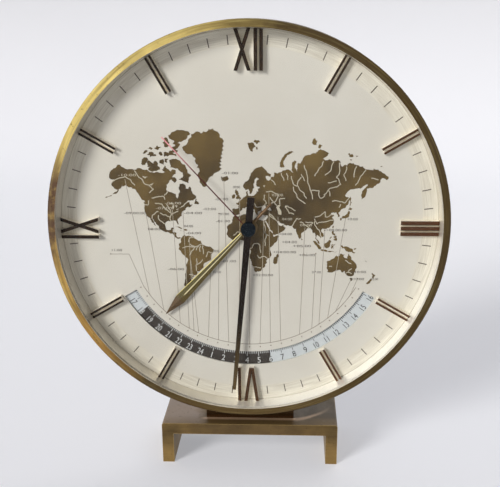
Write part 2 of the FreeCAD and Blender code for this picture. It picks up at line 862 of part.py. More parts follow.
def pillars_and_standoffs():
    pillars = []
    standoffs = []
    for spot in pillar_spots:
        post = rod(spot, pillar_radius, train_level, train_height)
        tenon = rod(spot, pillar_tenon_radius, plate_level, plate_thickness)
        socket_level = bridge_level - pillar_stud_length
        socket = rod(spot, pillar_stud_radius, socket_level, pillar_stud_length + overrun)
        pillars.append(joined([post, tenon]).cut(socket))
        sleeve = rod(spot, pillar_radius, bridge_back, cover_level - bridge_back)
        stud_length = plate_thickness + pillar_stud_length
        stud = rod(spot, pillar_stud_radius, bridge_back - stud_length, stud_length)
        threaded = rod(spot, cover_screw_radius, cover_level - cover_screw_reach, cover_screw_reach + overrun)
        standoffs.append(joined([sleeve, stud]).cut(threaded))
    save("movement_pillars", *pillars)
    save("cover_standoffs", *standoffs)


def nut(spot, radius, bore, level, height):
    corners = [beside(spot, radius, 60 * number) for number in range(6)]
    return prism(corners, level, height).cut(rod(spot, bore, level - overrun, height + 2 * overrun))


def movement_fixings():
    bolts = []
    nuts = []
    for spot in bolt_spots:
        head = rod(spot, bolt_head_radius, back_plate_level - bolt_head_height, bolt_head_height)
        length = back_plate_thickness + plate_thickness + nut_height
        bolts.append(joined([head, rod(spot, bolt_radius, back_plate_level, length)]))
        nuts.append(nut(spot, nut_radius, bolt_radius, train_level, nut_height))
    save("movement_bolts", *bolts)
    save("movement_nuts", *nuts)


# Going train
def arbor_with_pinion(spot, radius, teeth, module, phase, pinion_height):
    """An arbor between the plates, with its pinion at a height above the front plate."""
    start = plate_level + pivot_recess
    end = bridge_back - pivot_recess
    pinion_level = train_level + pinion_height
    arbor = rod(spot, radius, start, end - start)
    return joined([arbor, gear(teeth, module, pinion_level, wheel_thickness, radius / 2, spot, phase)])


def centre_and_third_wheels():
    """The wheel that carries the minutes, and the one between it and the seconds arbor."""
    module = 2 * third_distance / (centre_wheel_teeth + third_pinion_teeth)
    bore = seconds_arbor_radius + running_clearance
    radius = centre_pipe_radius
    level = train_level + centre_wheel_height
    start = minute_wheel_level + gear_thickness + gear_gap
    save("centre_pipe", tube(centre, radius, bore, start, level + wheel_thickness + gear_gap - start))
    save("centre_wheel", gear(centre_wheel_teeth, module, level, wheel_thickness, radius, centre, 0))

    teeth = third_pinion_teeth
    phase = meshed(centre_wheel_teeth, 0, teeth, third_direction)
    arbor = arbor_with_pinion(third_spot, arbor_radius, teeth, module, phase, centre_wheel_height)
    save("third_arbor", arbor)
    teeth = third_wheel_teeth
    phase = meshed(seconds_pinion_teeth, 0, teeth, third_direction)
    level = train_level + third_wheel_height
    save("third_wheel", gear(teeth, train_module, level, wheel_thickness, arbor_radius, third_spot, phase))


def seconds_wheels():
    """The long arbor that carries the second hand, with its pinion and its wheel."""
    radius = seconds_arbor_radius
    start = second_hand_level - hand_cap_height / 2
    shaft = rod(centre, radius, start, bridge_back - pivot_recess - start)
    level = train_level + third_wheel_height
    leaves = gear(seconds_pinion_teeth, train_module, level, wheel_thickness, radius / 2, centre, 0)
    save("seconds_arbor", joined([shaft, leaves]))
    level = train_level + seconds_wheel_height
    teeth = seconds_wheel_teeth
    save("seconds_wheel", gear(teeth, seconds_module, level, wheel_thickness, radius, centre, 0))


def fifth_wheel_and_rotor():
    """The step down from the motor's rotor to the seconds wheel."""
    teeth = fifth_pinion_teeth
    phase = meshed(seconds_wheel_teeth, 0, teeth, fifth_direction)
    arbor = arbor_with_pinion(fifth_spot, arbor_radius, teeth, seconds_module, phase, seconds_wheel_height)
    save("fifth_arbor", arbor)
    level = train_level + fifth_wheel_height
    teeth = fifth_wheel_teeth
    save("fifth_wheel", gear(teeth, rotor_module, level, wheel_thickness, arbor_radius, fifth_spot, 0))

    radius = rotor_arbor_radius
    teeth = rotor_pinion_teeth
    phase = meshed(fifth_wheel_teeth, 0, teeth, rotor_direction)
    arbor = arbor_with_pinion(rotor_spot, radius, teeth, rotor_module, phase, fifth_wheel_height)
    save("rotor_arbor", arbor)
    save("rotor_magnet", tube(rotor_spot, rotor_radius, radius, train_level + rotor_height, rotor_length))


# Motor and circuit
def stepping_motor():
    level = train_level + stator_height
    core_left = -coil_offset - core_width / 2
    core_right = -coil_offset + core_width / 2
    body = block(-stator_left, -stator_right, -stator_bottom, stator_top, level, stator_thickness)
    upper = block(core_left, -stator_left, stator_top - stator_arm, stator_top, level, stator_thickness)
    arm_top = -stator_bottom + stator_arm
    lower = block(core_left, -stator_left, -stator_bottom, arm_top, level, stator_thickness)
    core = block(core_left, core_right, -stator_bottom, stator_top, level, stator_thickness)
    stator = joined([body, upper, lower, core])
    save("stator", drilled(stator, [rotor_spot], rotor_radius + stator_gap, level, stator_thickness))

    middle = level + stator_thickness / 2
    bottom = axis_height - stator_bottom + stator_arm
    length = stator_top + stator_bottom - 2 * stator_arm
    tube_radius = bobbin_bore_radius + bobbin_wall
    flange_top = bottom + length - bobbin_flange_thickness
    spool = joined(
        [
            upright(-coil_offset, tube_radius, bottom, length, middle),
            upright(-coil_offset, bobbin_flange_radius, bottom, bobbin_flange_thickness, middle),
            upright(-coil_offset, bobbin_flange_radius, flange_top, bobbin_flange_thickness, middle),
        ]
    )
    bore = upright(-coil_offset, bobbin_bore_radius, bottom - overrun, length + 2 * overrun, middle)
    save("coil_bobbin", spool.cut(bore))
    winding_bottom = bottom + bobbin_flange_thickness
    winding_length = length - 2 * bobbin_flange_thickness
    winding = upright(-coil_offset, winding_radius, winding_bottom, winding_length, middle)
    tube_space = upright(-coil_offset, tube_radius, winding_bottom, winding_length, middle)
    save("coil_winding", winding.cut(tube_space))


def circuit():
    board = block(-board_left, -board_right, board_bottom, board_top, bridge_back, board_thickness)
    save("circuit_board", board)
    can_level = bridge_back + board_thickness + crystal_can_radius
    can_bottom = axis_height + board_bottom + crystal_can_drop
    can_x = -(board_left + board_right) / 2
    save("timing_crystal", upright(can_x, crystal_can_radius, can_bottom, crystal_can_length, can_level))


# Battery and cover
def lengthways(radius, left, length, level, height):
    """A cylinder along X, its axis at a height beside the clock's axis."""
    base = point((left, height), level)
    return Part.makeCylinder(radius, length, base, FreeCAD.Vector(1, 0, 0))


def battery_parts():
    level = train_level + holder_floor + battery_floor_gap + battery_radius
    left = -(battery_length + battery_nub_length) / 2
    cell = lengthways(battery_radius, left, battery_length, level, -battery_drop)
    nub = lengthways(battery_nub_radius, left + battery_length, battery_nub_length, level, -battery_drop)
    save("battery", joined([cell, nub]))

    half = holder_length / 2
    end = half + holder_wall
    tray = block(-end, end, -holder_bottom, -holder_top, train_level, holder_depth)
    low = -battery_drop - holder_inner_half
    floor_level = train_level + holder_floor
    hollow = block(-half, half, low, -battery_drop + holder_inner_half, floor_level, holder_depth)
    save("battery_holder", tray.cut(hollow))

    contacts = []
    contact_half = contact_size / 2
    low = -battery_drop - contact_half
    high = -battery_drop + contact_half
    contact_level = level - contact_half
    for hand in (-1, 1):
        outer = hand * half
        inner = hand * (half - contact_thickness)
        plate = block(min(outer, inner), max(outer, inner), low, high, contact_level, contact_size)
        cell_end = left if hand < 0 else left + battery_length + battery_nub_length
        bump_left = min(inner, cell_end)
        bump = lengthways(contact_bump_radius, bump_left, abs(inner - cell_end), level, -battery_drop)
        contacts.append(joined([plate, bump]))
    save("battery_contacts", *contacts)


def door_block(length, height, level, thickness):
    half = length / 2
    return block(-half, half, -battery_drop - height / 2, -battery_drop + height / 2, level, thickness)


def movement_cover():
    outer = cover_radius
    inner = cover_inner_radius
    shell = turned(
        [
            (inner, train_level),
            (outer, train_level),
            (outer, cover_back - cover_corner),
            (outer - cover_corner, cover_back),
            (0, cover_back),
            (0, cover_level),
            (inner, cover_level),
        ]
    )
    cut_level = cover_level - overrun
    opening = door_block(door_opening_length, door_opening_height, cut_level, cover_wall + 2 * overrun)
    shell = shell.cut(opening)
    shell = drilled(shell, pillar_spots, cover_screw_radius + screw_hole_clearance, cover_level, cover_wall)
    arbor_hole = stud_radius + door_clearance
    save("movement_cover", drilled(shell, [setting_spot], arbor_hole, cover_level, cover_wall))


def cover_screws():
    radius = cover_screw_radius
    head_radius = cover_screw_head_radius
    head_height = cover_screw_head_height
    reach = cover_wall + cover_screw_reach - overrun
    screws = [screw(spot, radius, head_radius, head_height, cover_back, reach) for spot in pillar_spots]
    save("cover_screws", *screws)


def battery_door():
    """A pull-off lid whose plug fills the opening, with grip ribs to hold it by."""
    plug_length = door_opening_length - 2 * door_clearance
    plug_height = door_opening_height - 2 * door_clearance
    plug = door_block(plug_length, plug_height, cover_level, cover_wall)
    plate_length = door_opening_length + 2 * door_overlap
    plate_height = door_opening_height + 2 * door_overlap
    plate = door_block(plate_length, plate_height, cover_back, door_plate_thickness)
    ribs = []
    for number in range(door_grip_count):
        height = -battery_drop + (number - (door_grip_count - 1) / 2) * door_grip_pitch
        rib_level = cover_back + door_plate_thickness
        ribs.append(lengthways(door_grip_radius, -door_grip_length / 2, door_grip_length, rib_level, height))
    save("battery_door", joined([plug, plate] + ribs))


os.makedirs("parts", exist_ok=True)
stand_bench()
saddle_block()
stand_screws()
case_ring()
glass_and_gasket()
dial_flange()
dial_support_ring()
back_plate()
back_plate_screws()
dial()
hour_markers()
minute_hand()
hour_hand()
second_hand()
hand_cap()
minute_and_hour_wheels()
scale_disc_drive()
setting_knob()
movement_plates()
pillars_and_standoffs()
movement_fixings()
centre_and_third_wheels()
seconds_wheels()
fifth_wheel_and_rotor()
stepping_motor()
circuit()
battery_parts()
movement_cover()
cover_screws()
battery_door()
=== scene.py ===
import json
import math
import random

import bmesh
import bpy
from mathutils import Matrix, Vector, geometry


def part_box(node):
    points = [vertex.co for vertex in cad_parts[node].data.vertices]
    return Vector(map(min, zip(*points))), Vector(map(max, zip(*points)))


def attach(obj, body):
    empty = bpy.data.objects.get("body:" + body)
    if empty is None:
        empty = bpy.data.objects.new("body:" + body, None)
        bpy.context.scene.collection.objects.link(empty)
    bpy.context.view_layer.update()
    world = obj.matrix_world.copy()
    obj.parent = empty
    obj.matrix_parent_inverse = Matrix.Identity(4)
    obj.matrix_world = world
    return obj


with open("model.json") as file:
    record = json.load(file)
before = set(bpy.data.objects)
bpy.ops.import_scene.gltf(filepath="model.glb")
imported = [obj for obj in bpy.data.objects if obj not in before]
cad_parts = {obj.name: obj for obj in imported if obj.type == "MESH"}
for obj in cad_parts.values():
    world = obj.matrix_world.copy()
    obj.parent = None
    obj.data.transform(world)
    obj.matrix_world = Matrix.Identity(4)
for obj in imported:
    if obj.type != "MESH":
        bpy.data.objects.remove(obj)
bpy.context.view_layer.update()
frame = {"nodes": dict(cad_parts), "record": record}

# Driving sizes, read from the frame
ring_low, ring_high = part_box("case_ring")
axis_x = (ring_low[0] + ring_high[0]) / 2
axis_z = (ring_low[2] + ring_high[2]) / 2
ring_radius = (ring_high[0] - ring_low[0]) / 2
dial_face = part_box("dial")[0][1]
disc_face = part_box("scale_disc")[0][1]
unit = ring_radius / 122.5  # the dial unit, one millimetre at the real size
ink_step = 0.02 * unit
hour_hand_clock = 223.2  # the hour hand's clock angle at rest


def colour(red, green, blue):
    """An sRGB colour of 0 to 255 as the linear colour that shaders take."""
    return tuple(pow((c / 255 + 0.055) / 1.055, 2.4) for c in (red, green, blue)) + (1.0,)


def at(radius, clock):
    """The point at a clock angle in degrees, clockwise from the top."""
    turn = math.radians(clock)
    return radius * math.sin(turn), radius * math.cos(turn)


def shaded(tone, share, lift=0.0):
    """A colour made darker or lighter by a share and a lift."""
    return tuple(min(1.0, share * c + lift) for c in tone[:3]) + (1.0,)


class Nodes:
    """The node tree of a material or world, with short ways to add nodes and join them."""

    def __init__(self, owner):
        owner.use_nodes = True
        self.tree = owner.node_tree

    def set(self, node, socket, value):
        if isinstance(value, bpy.types.NodeSocket):
            self.tree.links.new(value, node.inputs[socket])
        else:
            node.inputs[socket].default_value = value

    def add(self, kind, *values, **settings):
        node = self.tree.nodes.new("ShaderNode" + kind)
        for key, value in settings.items():
            setattr(node, key, value)
        for socket, value in enumerate(values):
            if value is not None:
                self.set(node, socket, value)
        return node

    def math(self, operation, a, b=0.0):
        return self.add("Math", a, b, operation=operation).outputs[0]

    def vector(self, operation, *values):
        node = self.add("VectorMath", *values, operation=operation)
        return node.outputs["Value" if operation in ("LENGTH", "DOT_PRODUCT") else "Vector"]

    def seen(self):
        """One for rays that the camera sees, straight, mirrored or through glass, and zero for the rest."""
        rays = self.add("LightPath").outputs
        straight = self.math("MAXIMUM", rays["Is Camera Ray"], rays["Is Glossy Ray"])
        return self.math("MAXIMUM", straight, rays["Is Transmission Ray"])


finishes = {}  # every material by its name


class Finish(Nodes):
    """A material, with the steps that these finishes share."""

    def __init__(self, name):
        self.material = finishes[name] = bpy.data.materials.new(name)
        super().__init__(self.material)
        self.shader = self.tree.nodes["Principled BSDF"]

    def times(self, value, *others):
        for other in others:
            value = self.math("MULTIPLY", value, other)
        return value

    def plus(self, a, b):
        return self.math("ADD", a, b)

    def minus(self, a, b):
        return self.math("SUBTRACT", a, b)

    def place(self):
        return self.add("TexCoord").outputs["Object"]

    def xyz(self):
        return self.add("SeparateXYZ", self.place()).outputs

    def stretched(self, x, y, z):
        """Object coordinates scaled along each axis, for grain that runs one way."""
        return self.vector("MULTIPLY", self.place(), (x, y, z))

    def off_axis(self):
        """Distances from the dial's axis to the right and up, with the depth between them."""
        x, depth, z = self.xyz()
        return self.minus(x, axis_x), depth, self.minus(z, axis_z)

    def polar(self, across, along):
        """Coordinates round the dial's axis, for grain that runs in circles."""
        right, depth, up = self.off_axis()
        flat = self.add("CombineXYZ", right, 0.0, up).outputs[0]
        around = self.vector("MULTIPLY", self.vector("NORMALIZE", flat), (along, 0.0, along))
        reach = self.times(self.plus(self.vector("LENGTH", flat), depth), across)
        rings = self.add("CombineXYZ", 0.0, reach, 0.0).outputs[0]
        return self.vector("ADD", around, rings)

    def radius(self):
        """Distance from the dial's axis."""
        right, _, up = self.off_axis()
        return self.vector("LENGTH", self.add("CombineXYZ", right, 0.0, up).outputs[0])

    def noise(self, vector, scale, detail=3.0, rough=0.55):
        node = self.add("TexNoise")
        self.set(node, "Vector", vector)
        self.set(node, "Scale", scale)
        self.set(node, "Detail", detail)
        self.set(node, "Roughness", rough)
        return node.outputs[0]

    def spots(self, scale, detail=3.0, rough=0.55):
        """Noise that is even in all directions."""
        return self.noise(self.place(), scale, detail, rough)

    def span(self, value, low, high, to_low=0.0, to_high=1.0):
        return self.add("MapRange", value, low, high, to_low, to_high).outputs[0]

    def ramp(self, value, *stops):
        node = self.add("ValToRGB", value)
        points = node.color_ramp.elements
        while len(points) < len(stops):
            points.new(0.5)
        for point, (where, shade) in zip(points, stops):
            point.position = where
            point.color = shade
        return node.outputs[0]

    def mix(self, share, first, second):
        node = self.add("Mix", data_type="RGBA")
        self.set(node, 0, share)
        self.set(node, 6, first)
        self.set(node, 7, second)
        return node.outputs[2]

    def bump(self, height, strength, distance):
        node = self.add("Bump")
        self.set(node, "Strength", strength)
        self.set(node, "Distance", distance)
        self.set(node, "Height", height)
        self.set(self.shader, "Normal", node.outputs[0])

    def give(self, **values):
        for key, value in values.items():
            self.set(self.shader, key.replace("_", " "), value)
        return self.material


def brushed(name, base, stain, grain, metallic=1.0, rough=(0.25, 0.4), amount=0.5, relief=0.15):
    """Brushed metal with a patina: streaks along the grain, stained blotches and a fine relief."""
    finish = Finish(name)
    if grain == "round":
        streak_place = finish.polar(0.9 / unit, 9.0)
    else:
        streak_place = finish.stretched(*grain)
    streak = finish.noise(streak_place, 1.0, 2.0)
    patch = finish.spots(45.0, 6.0, 0.62)
    speck = finish.spots(630.0, 2.0)
    cover = finish.span(patch, 0.62 - 0.3 * amount, 0.8 - 0.3 * amount)
    cover = finish.times(cover, finish.span(speck, 0.2, 0.6, 0.55, 1.0))
    lively = finish.mix(finish.span(streak, 0.3, 0.7), base, shaded(base, 0.82))
    tone = finish.mix(cover, lively, stain)
    finish.bump(streak, relief, 0.00004)
    roughness = finish.span(finish.plus(streak, cover), 0.3, 1.5, *rough)
    return finish.give(Base_Color=tone, Metallic=metallic, Roughness=roughness)


def moulded(name, base, rough=(0.42, 0.6), relief=0.2):
    """Moulded plastic, rubber or lacquer: faint clouding, an even fine texture and dust in it."""
    finish = Finish(name)
    grain = finish.spots(2600.0, 2.0)
    cloud = finish.spots(60.0, 4.0)
    tone = finish.mix(finish.span(cloud, 0.35, 0.75), base, shaded(base, 1.25, 0.004))
    finish.bump(grain, relief, 0.00005)
    return finish.give(Base_Color=tone, Roughness=finish.span(cloud, 0.3, 0.7, *rough))


def case_brass():
    """Old brushed brass, painted with its light: lit pale gold at the upper left, orange-gold at the lower
    left and brown painted shade elsewhere, with painted highlights and a painted reflection.
    """
    finish = Finish("case_brass")
    right, _, up = finish.off_axis()
    right, up = finish.times(right, 1.0 / ring_radius), finish.times(up, 1.0 / ring_radius)
    # Painted light and shade: lean runs towards the upper left, where the light comes from. The brass is
    # painted lit gold there and painted brown shade towards the right and the bottom.
    lean = finish.minus(finish.times(up, 0.36), finish.times(right, 0.93))
    streak = finish.noise(finish.polar(1.1 / unit, 5.0), 1.0, 2.0)
    long_streak = finish.noise(finish.polar(0.5 / unit, 2.2), 1.0, 3.0)
    patch = finish.spots(34.0, 6.0, 0.6)
    speck = finish.spots(520.0, 3.0)
    lean = finish.plus(lean, finish.span(patch, 0.3, 0.7, -0.16, 0.16))
    gold = finish.mix(finish.span(up, -0.6, 0.5), colour(214, 164, 88), colour(222, 197, 120))
    shaded_brown = finish.mix(finish.span(up, -0.8, -0.95), colour(84, 70, 47), colour(104, 86, 56))
    tone = finish.mix(finish.span(lean, 0.15, 0.85), shaded_brown, gold)
    tone = finish.mix(finish.span(long_streak, 0.42, 0.7, 0.0, 0.6), tone, colour(88, 68, 36))
    # A painted reflection: a mottled dark pinkish-brown patch on the left side of the ring, which also dims
    # the painted highlights there.
    painted_brown_reflection = finish.span(finish.math("ABSOLUTE", finish.minus(up, 0.08)), 0.34, 0.16)
    mottle = finish.spots(150.0, 4.0, 0.62)
    painted_brown_reflection = finish.times(painted_brown_reflection, finish.span(lean, 0.5, 0.9), finish.span(mottle, 0.4, 0.56, 0.6, 1.0))
    tone = finish.mix(painted_brown_reflection, tone, colour(98, 76, 60))
    tone = finish.mix(finish.span(speck, 0.62, 0.74, 0.0, 0.6), tone, colour(70, 50, 28))
    # Painted highlights: pale streaks along the grain, strongest towards the upper left.
    shine = finish.times(finish.span(streak, 0.5, 0.8), finish.span(lean, 0.1, 0.9, 0.12, 0.5),
                         finish.span(painted_brown_reflection, 0.0, 1.0, 1.0, 0.25))
    tone = finish.mix(shine, tone, colour(242, 224, 148))
    # Painted light: the lip's inner face, which faces the axis and lies in shade, is painted pale cream and
    # made less metallic.
    way = finish.add("CombineXYZ", right, 0.0, up).outputs[0]
    normal = finish.add("TexCoord").outputs["Normal"]
    within = finish.span(finish.vector("DOT_PRODUCT", way, normal), -0.4, -0.7)
    tone = finish.mix(within, tone, colour(232, 227, 214))
    finish.bump(finish.plus(streak, finish.times(speck, 0.4)), 0.25, 0.00005)
    roughness = finish.span(finish.plus(streak, patch), 0.6, 1.4, 0.3, 0.46)
    return finish.give(Base_Color=tone, Metallic=finish.span(within, 0.0, 1.0, 1.0, 0.2), Roughness=roughness)


def stand_brass():
    """Dull olive-brown brass with darker stains, painted light on its top (a pale reflection at the left,
    painted shade and a sheen at the right), and painted highlights in front of the saddle and along its
    edges.
    """
    finish = Finish("stand_brass")
    bench_low, bench_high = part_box("stand_bench")
    saddle_low, saddle_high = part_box("saddle_block")
    streak = finish.noise(finish.stretched(60.0, 900.0, 900.0), 1.0, 3.0)
    patch = finish.spots(38.0, 7.0, 0.62)
    speck = finish.spots(600.0, 3.0)
    x, y, z = finish.xyz()
    level = finish.add("SeparateXYZ", finish.add("TexCoord").outputs["Normal"]).outputs[2]
    top = finish.span(level, 0.6, 0.9)
    tone = finish.ramp(patch, (0.3, colour(84, 68, 42)), (0.5, colour(108, 88, 54)),
                       (0.7, colour(138, 112, 68)))
    tone = finish.mix(finish.span(streak, 0.45, 0.75, 0.0, 0.5), tone, colour(82, 64, 38))
    sides = finish.span(finish.math("ABSOLUTE", x), 0.2 * ring_radius, 0.42 * ring_radius)
    tone = finish.mix(finish.minus(0.45, finish.times(sides, 0.45)), tone, colour(96, 78, 54))
    legs = finish.span(z, 0.7 * bench_high[2], 0.2 * bench_high[2])
    tone = finish.mix(finish.times(legs, 0.4), tone, colour(186, 152, 90))
    # A painted reflection: a pale pinkish-grey patch on the top at the left.
    left = finish.plus(x, finish.span(patch, 0.3, 0.7, -6.0 * unit, 6.0 * unit))
    left = finish.span(left, -0.24 * ring_radius, -0.3 * ring_radius)
    tone = finish.mix(finish.times(top, left, 0.8), tone, colour(156, 141, 128))
    # Painted shade on the top at the right, under the ring.
    right = finish.span(x, 0.1 * ring_radius, 0.3 * ring_radius)
    tone = finish.mix(finish.times(top, right, 0.75), tone, colour(52, 45, 29))
    # A painted sheen: a greyish streak on the shaded top at the right.
    sheen = finish.span(finish.noise(finish.stretched(90.0, 30.0, 30.0), 1.0, 4.0), 0.46, 0.64)
    tone = finish.mix(finish.times(sheen, top, right, 0.4), tone, colour(124, 113, 96))
    # A painted highlight along the front edge of the top.
    front = finish.span(y, bench_low[1] + 12.0 * unit, bench_low[1])
    tone = finish.mix(finish.times(front, top, 0.45), tone, colour(150, 122, 74))

    # Painted highlights: a pale strip on the top in front of the saddle, which bends to the back in a streak
    # on its right
    reach = finish.minus(saddle_low[1], y)
    beside = finish.span(finish.math("ABSOLUTE", x), saddle_high[0] + 4.0 * unit, saddle_high[0])
    strip = finish.times(finish.span(reach, -0.2 * unit, 0.2 * unit),
                         finish.span(reach, 4.2 * unit, 2.4 * unit), beside)
    run = finish.minus(x, saddle_high[0])
    run = finish.plus(run, finish.span(patch, 0.3, 0.7, -2.0 * unit, 2.0 * unit))
    bend = finish.times(run, finish.span(run, 0.0, 24.0 * unit, 0.1, 0.75))
    curve = finish.minus(finish.minus(y, saddle_low[1] - 2.0 * unit), bend)
    curve = finish.span(finish.math("ABSOLUTE", curve), 3.4 * unit, 0.6 * unit)
    faded = finish.span(run, 26.0 * unit, 12.0 * unit, 0.0, 0.6)
    curve = finish.times(curve, finish.span(run, 0.0, 0.8 * unit), faded)
    pale_highlight = finish.times(finish.math("MAXIMUM", strip, curve), top, 0.85)
    tone = finish.mix(pale_highlight, tone, colour(206, 176, 146))

    tone = finish.mix(finish.span(speck, 0.6, 0.72, 0.0, 0.55), tone, colour(60, 46, 26))
    # Painted highlights: every edge, where the rounded normal turns from the flat one, is painted lighter.
    rounded = finish.add("Bevel", 0.6 * unit, samples=4).outputs[0]
    flat = finish.add("NewGeometry").outputs["Normal"]
    facing = finish.vector("DOT_PRODUCT", rounded, flat)
    tone = finish.mix(finish.times(finish.span(facing, 0.995, 0.9), 0.6), tone, colour(206, 176, 112))
    finish.bump(finish.plus(streak, speck), 0.3, 0.00006)
    return finish.give(Base_Color=tone, Metallic=finish.span(top, 0.0, 1.0, 0.85, 0.45),
                       Roughness=finish.span(patch, 0.3, 0.7, 0.36, 0.52))


def dial_silver():
    """Matt cream-silver: an even fine grain on the map field, circular brushing on the minute ring."""
    finish = Finish("dial_silver")
    grain = finish.spots(2200.0, 2.0)
    rings = finish.noise(finish.polar(1.6 / unit, 7.0), 1.0, 2.0)
    cloud = finish.spots(16.0, 4.0)
    outer = finish.span(finish.radius(), 107.2 * unit, 107.8 * unit)
    tone = finish.mix(finish.span(cloud, 0.3, 0.7), colour(226, 223, 211), colour(219, 215, 202))
    brushed_tone = finish.mix(finish.span(rings, 0.35, 0.7), colour(236, 232, 216), colour(208, 201, 183))
    tone = finish.mix(finish.times(outer, 0.8), tone, brushed_tone)
    finish.bump(finish.plus(grain, rings), 0.08, 0.00003)
    return finish.give(Base_Color=tone, Metallic=0.25, Roughness=finish.span(rings, 0.3, 0.7, 0.48, 0.58))


def flange_silver():
    """The silver wall round the dial, finely turned, with a painted highlight at the lower right."""
    finish = Finish("flange_silver")
    rings = finish.noise(finish.polar(2.0 / unit, 8.0), 1.0, 2.0)
    cloud = finish.spots(24.0, 4.0)
    tone = finish.mix(finish.span(cloud, 0.3, 0.7), colour(236, 232, 222), colour(224, 218, 204))
    right, _, up = finish.off_axis()
    # A painted highlight: the wall is painted near white towards the lower right.
    low_right = finish.plus(finish.times(right, 0.64 / ring_radius), finish.times(up, -0.77 / ring_radius))
    tone = finish.mix(finish.span(low_right, 0.6, 0.84), tone, colour(252, 251, 247))
    finish.bump(rings, 0.1, 0.00003)
    return finish.give(Base_Color=tone, Metallic=0.6, Roughness=finish.span(rings, 0.3, 0.7, 0.34, 0.44))


def marker_brass():
    """Applied markers: dark brushed faces, bright cream sides, and a bright strip between the double bars."""
    finish = Finish("marker_brass")
    x, y, z = finish.xyz()
    depth = finish.minus(y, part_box("hour_bars")[0][1])
    face = finish.span(depth, 0.38 * unit, 0.46 * unit, 1.0, 0.0)
    grain = finish.noise(finish.stretched(500.0, 500.0, 500.0), 1.0, 3.0)
    lean = finish.minus(x, finish.times(z, 0.5))
    warm = finish.span(lean, -axis_z / 2 - ring_radius, ring_radius - axis_z / 2)
    dark = finish.ramp(warm, (0.0, colour(34, 29, 26)), (0.5, colour(54, 45, 37)), (0.72, colour(88, 62, 43)),
                       (0.95, colour(100, 66, 46)))
    dark = finish.mix(finish.span(grain, 0.35, 0.7, 0.0, 0.35), dark, colour(92, 66, 44))
    bright = finish.mix(finish.span(grain, 0.3, 0.7), colour(252, 248, 238), colour(238, 228, 206))
    finish.bump(grain, 0.1, 0.00003)
    tone = finish.mix(face, bright, dark)
    return finish.give(Base_Color=tone, Metallic=finish.span(face, 0.0, 1.0, 0.15, 0.9),
                       Roughness=finish.span(grain, 0.3, 0.7, 0.3, 0.44))


def hand_finish(name, face, flank, tip):
    """A hand: the colours of its faces and flanks, and its tip as (start, end, colour)."""
    finish = Finish(name)
    grain = finish.noise(finish.stretched(900.0, 900.0, 120.0), 1.0, 3.0)
    patch = finish.spots(110.0, 4.0)
    normal = finish.add("SeparateXYZ", finish.add("TexCoord").outputs["Normal"])
    front = finish.span(normal.outputs[1], -0.15, -0.5)
    tone = finish.mix(finish.span(patch, 0.35, 0.7), face, shaded(face, 0.7))
    tone = finish.mix(front, flank, tone)
    tone = finish.mix(finish.span(finish.radius(), tip[0] * unit, tip[1] * unit), tone, tip[2])
    finish.bump(grain, 0.1, 0.00003)
    return finish.give(Base_Color=tone, Metallic=0.9, Roughness=finish.span(grain, 0.3, 0.7, 0.25, 0.4))


def hour_hand_brass():
    """The hour hand: olive facets, the lower one painted lighter, painted shade on the upper one near the
    hub, painted highlights along the ridge and the upper edge, and darker brown tail and tip.
    """
    finish = Finish("hour_hand_brass")
    grain = finish.noise(finish.stretched(900.0, 900.0, 900.0), 1.0, 3.0)
    right, _, up = finish.off_axis()
    way = at(1.0, hour_hand_clock)
    across = finish.minus(finish.times(right, way[1]), finish.times(up, way[0]))
    along = finish.plus(finish.times(right, way[0]), finish.times(up, way[1]))
    tone = finish.mix(finish.span(grain, 0.3, 0.7), colour(88, 80, 36), colour(74, 66, 28))
    # Painted light: the facet below the ridge is painted lighter than the one above.
    lower = finish.span(across, 0.2 * unit, -0.2 * unit)
    tone = finish.mix(finish.times(lower, 0.7), tone, colour(104, 88, 44))
    # Painted shade: the upper facet is darkened near the hub.
    near_hub = finish.span(along, 50.0 * unit, 14.0 * unit)
    shade = finish.times(finish.span(across, -0.2 * unit, 0.2 * unit), near_hub)
    tone = finish.mix(finish.times(shade, 0.7), tone, colour(44, 38, 20))
    # A painted highlight: a pale cream line along the ridge.
    ridge = finish.minus(finish.math("ABSOLUTE", across), finish.times(along, 0.003))
    ridge = finish.span(ridge, 0.24 * unit, 0.12 * unit)
    ridge = finish.times(ridge, finish.span(along, 61.0 * unit, 59.0 * unit))
    tone = finish.mix(ridge, tone, colour(232, 220, 172))
    # A painted highlight: a bright line along the upper edge.
    rim = finish.minus(across, finish.times(along, 0.037))
    tone = finish.mix(finish.span(rim, 0.7 * unit, 0.86 * unit), tone, colour(206, 192, 116))
    tone = finish.mix(finish.span(along, -2.0 * unit, -4.0 * unit), tone, colour(104, 76, 42))
    tone = finish.mix(finish.span(along, 62.0 * unit, 66.0 * unit), tone, colour(92, 72, 46))
    boss = finish.span(finish.radius(), 7.0 * unit, 6.0 * unit)
    tone = finish.mix(boss, tone, colour(128, 104, 62))
    finish.bump(grain, 0.1, 0.00003)
    return finish.give(Base_Color=tone, Metallic=0.35, Roughness=finish.span(grain, 0.3, 0.7, 0.42, 0.54))


def crystal_clear():
    """Clear glass with the faintest haze of fingermarks."""
    finish = Finish("crystal_clear")
    smear = finish.spots(35.0, 5.0)
    return finish.give(Base_Color=colour(60, 66, 66), Roughness=finish.span(smear, 0.3, 0.7, 0.02, 0.09),
                       Alpha=0.04, IOR=1.5)


def ink(name, base, other, metallic=0.0, rough=(0.45, 0.62), size=260.0):
    """Printed or etched colour, slightly uneven, with the dial's grain showing through."""
    finish = Finish(name)
    cloud = finish.spots(size, 4.0)
    grain = finish.spots(2200.0, 2.0)
    tone = finish.mix(finish.span(cloud, 0.35, 0.68), base, other)
    finish.bump(grain, 0.1, 0.00002)
    return finish.give(Base_Color=tone, Metallic=metallic, Roughness=finish.span(cloud, 0.3, 0.7, *rough))


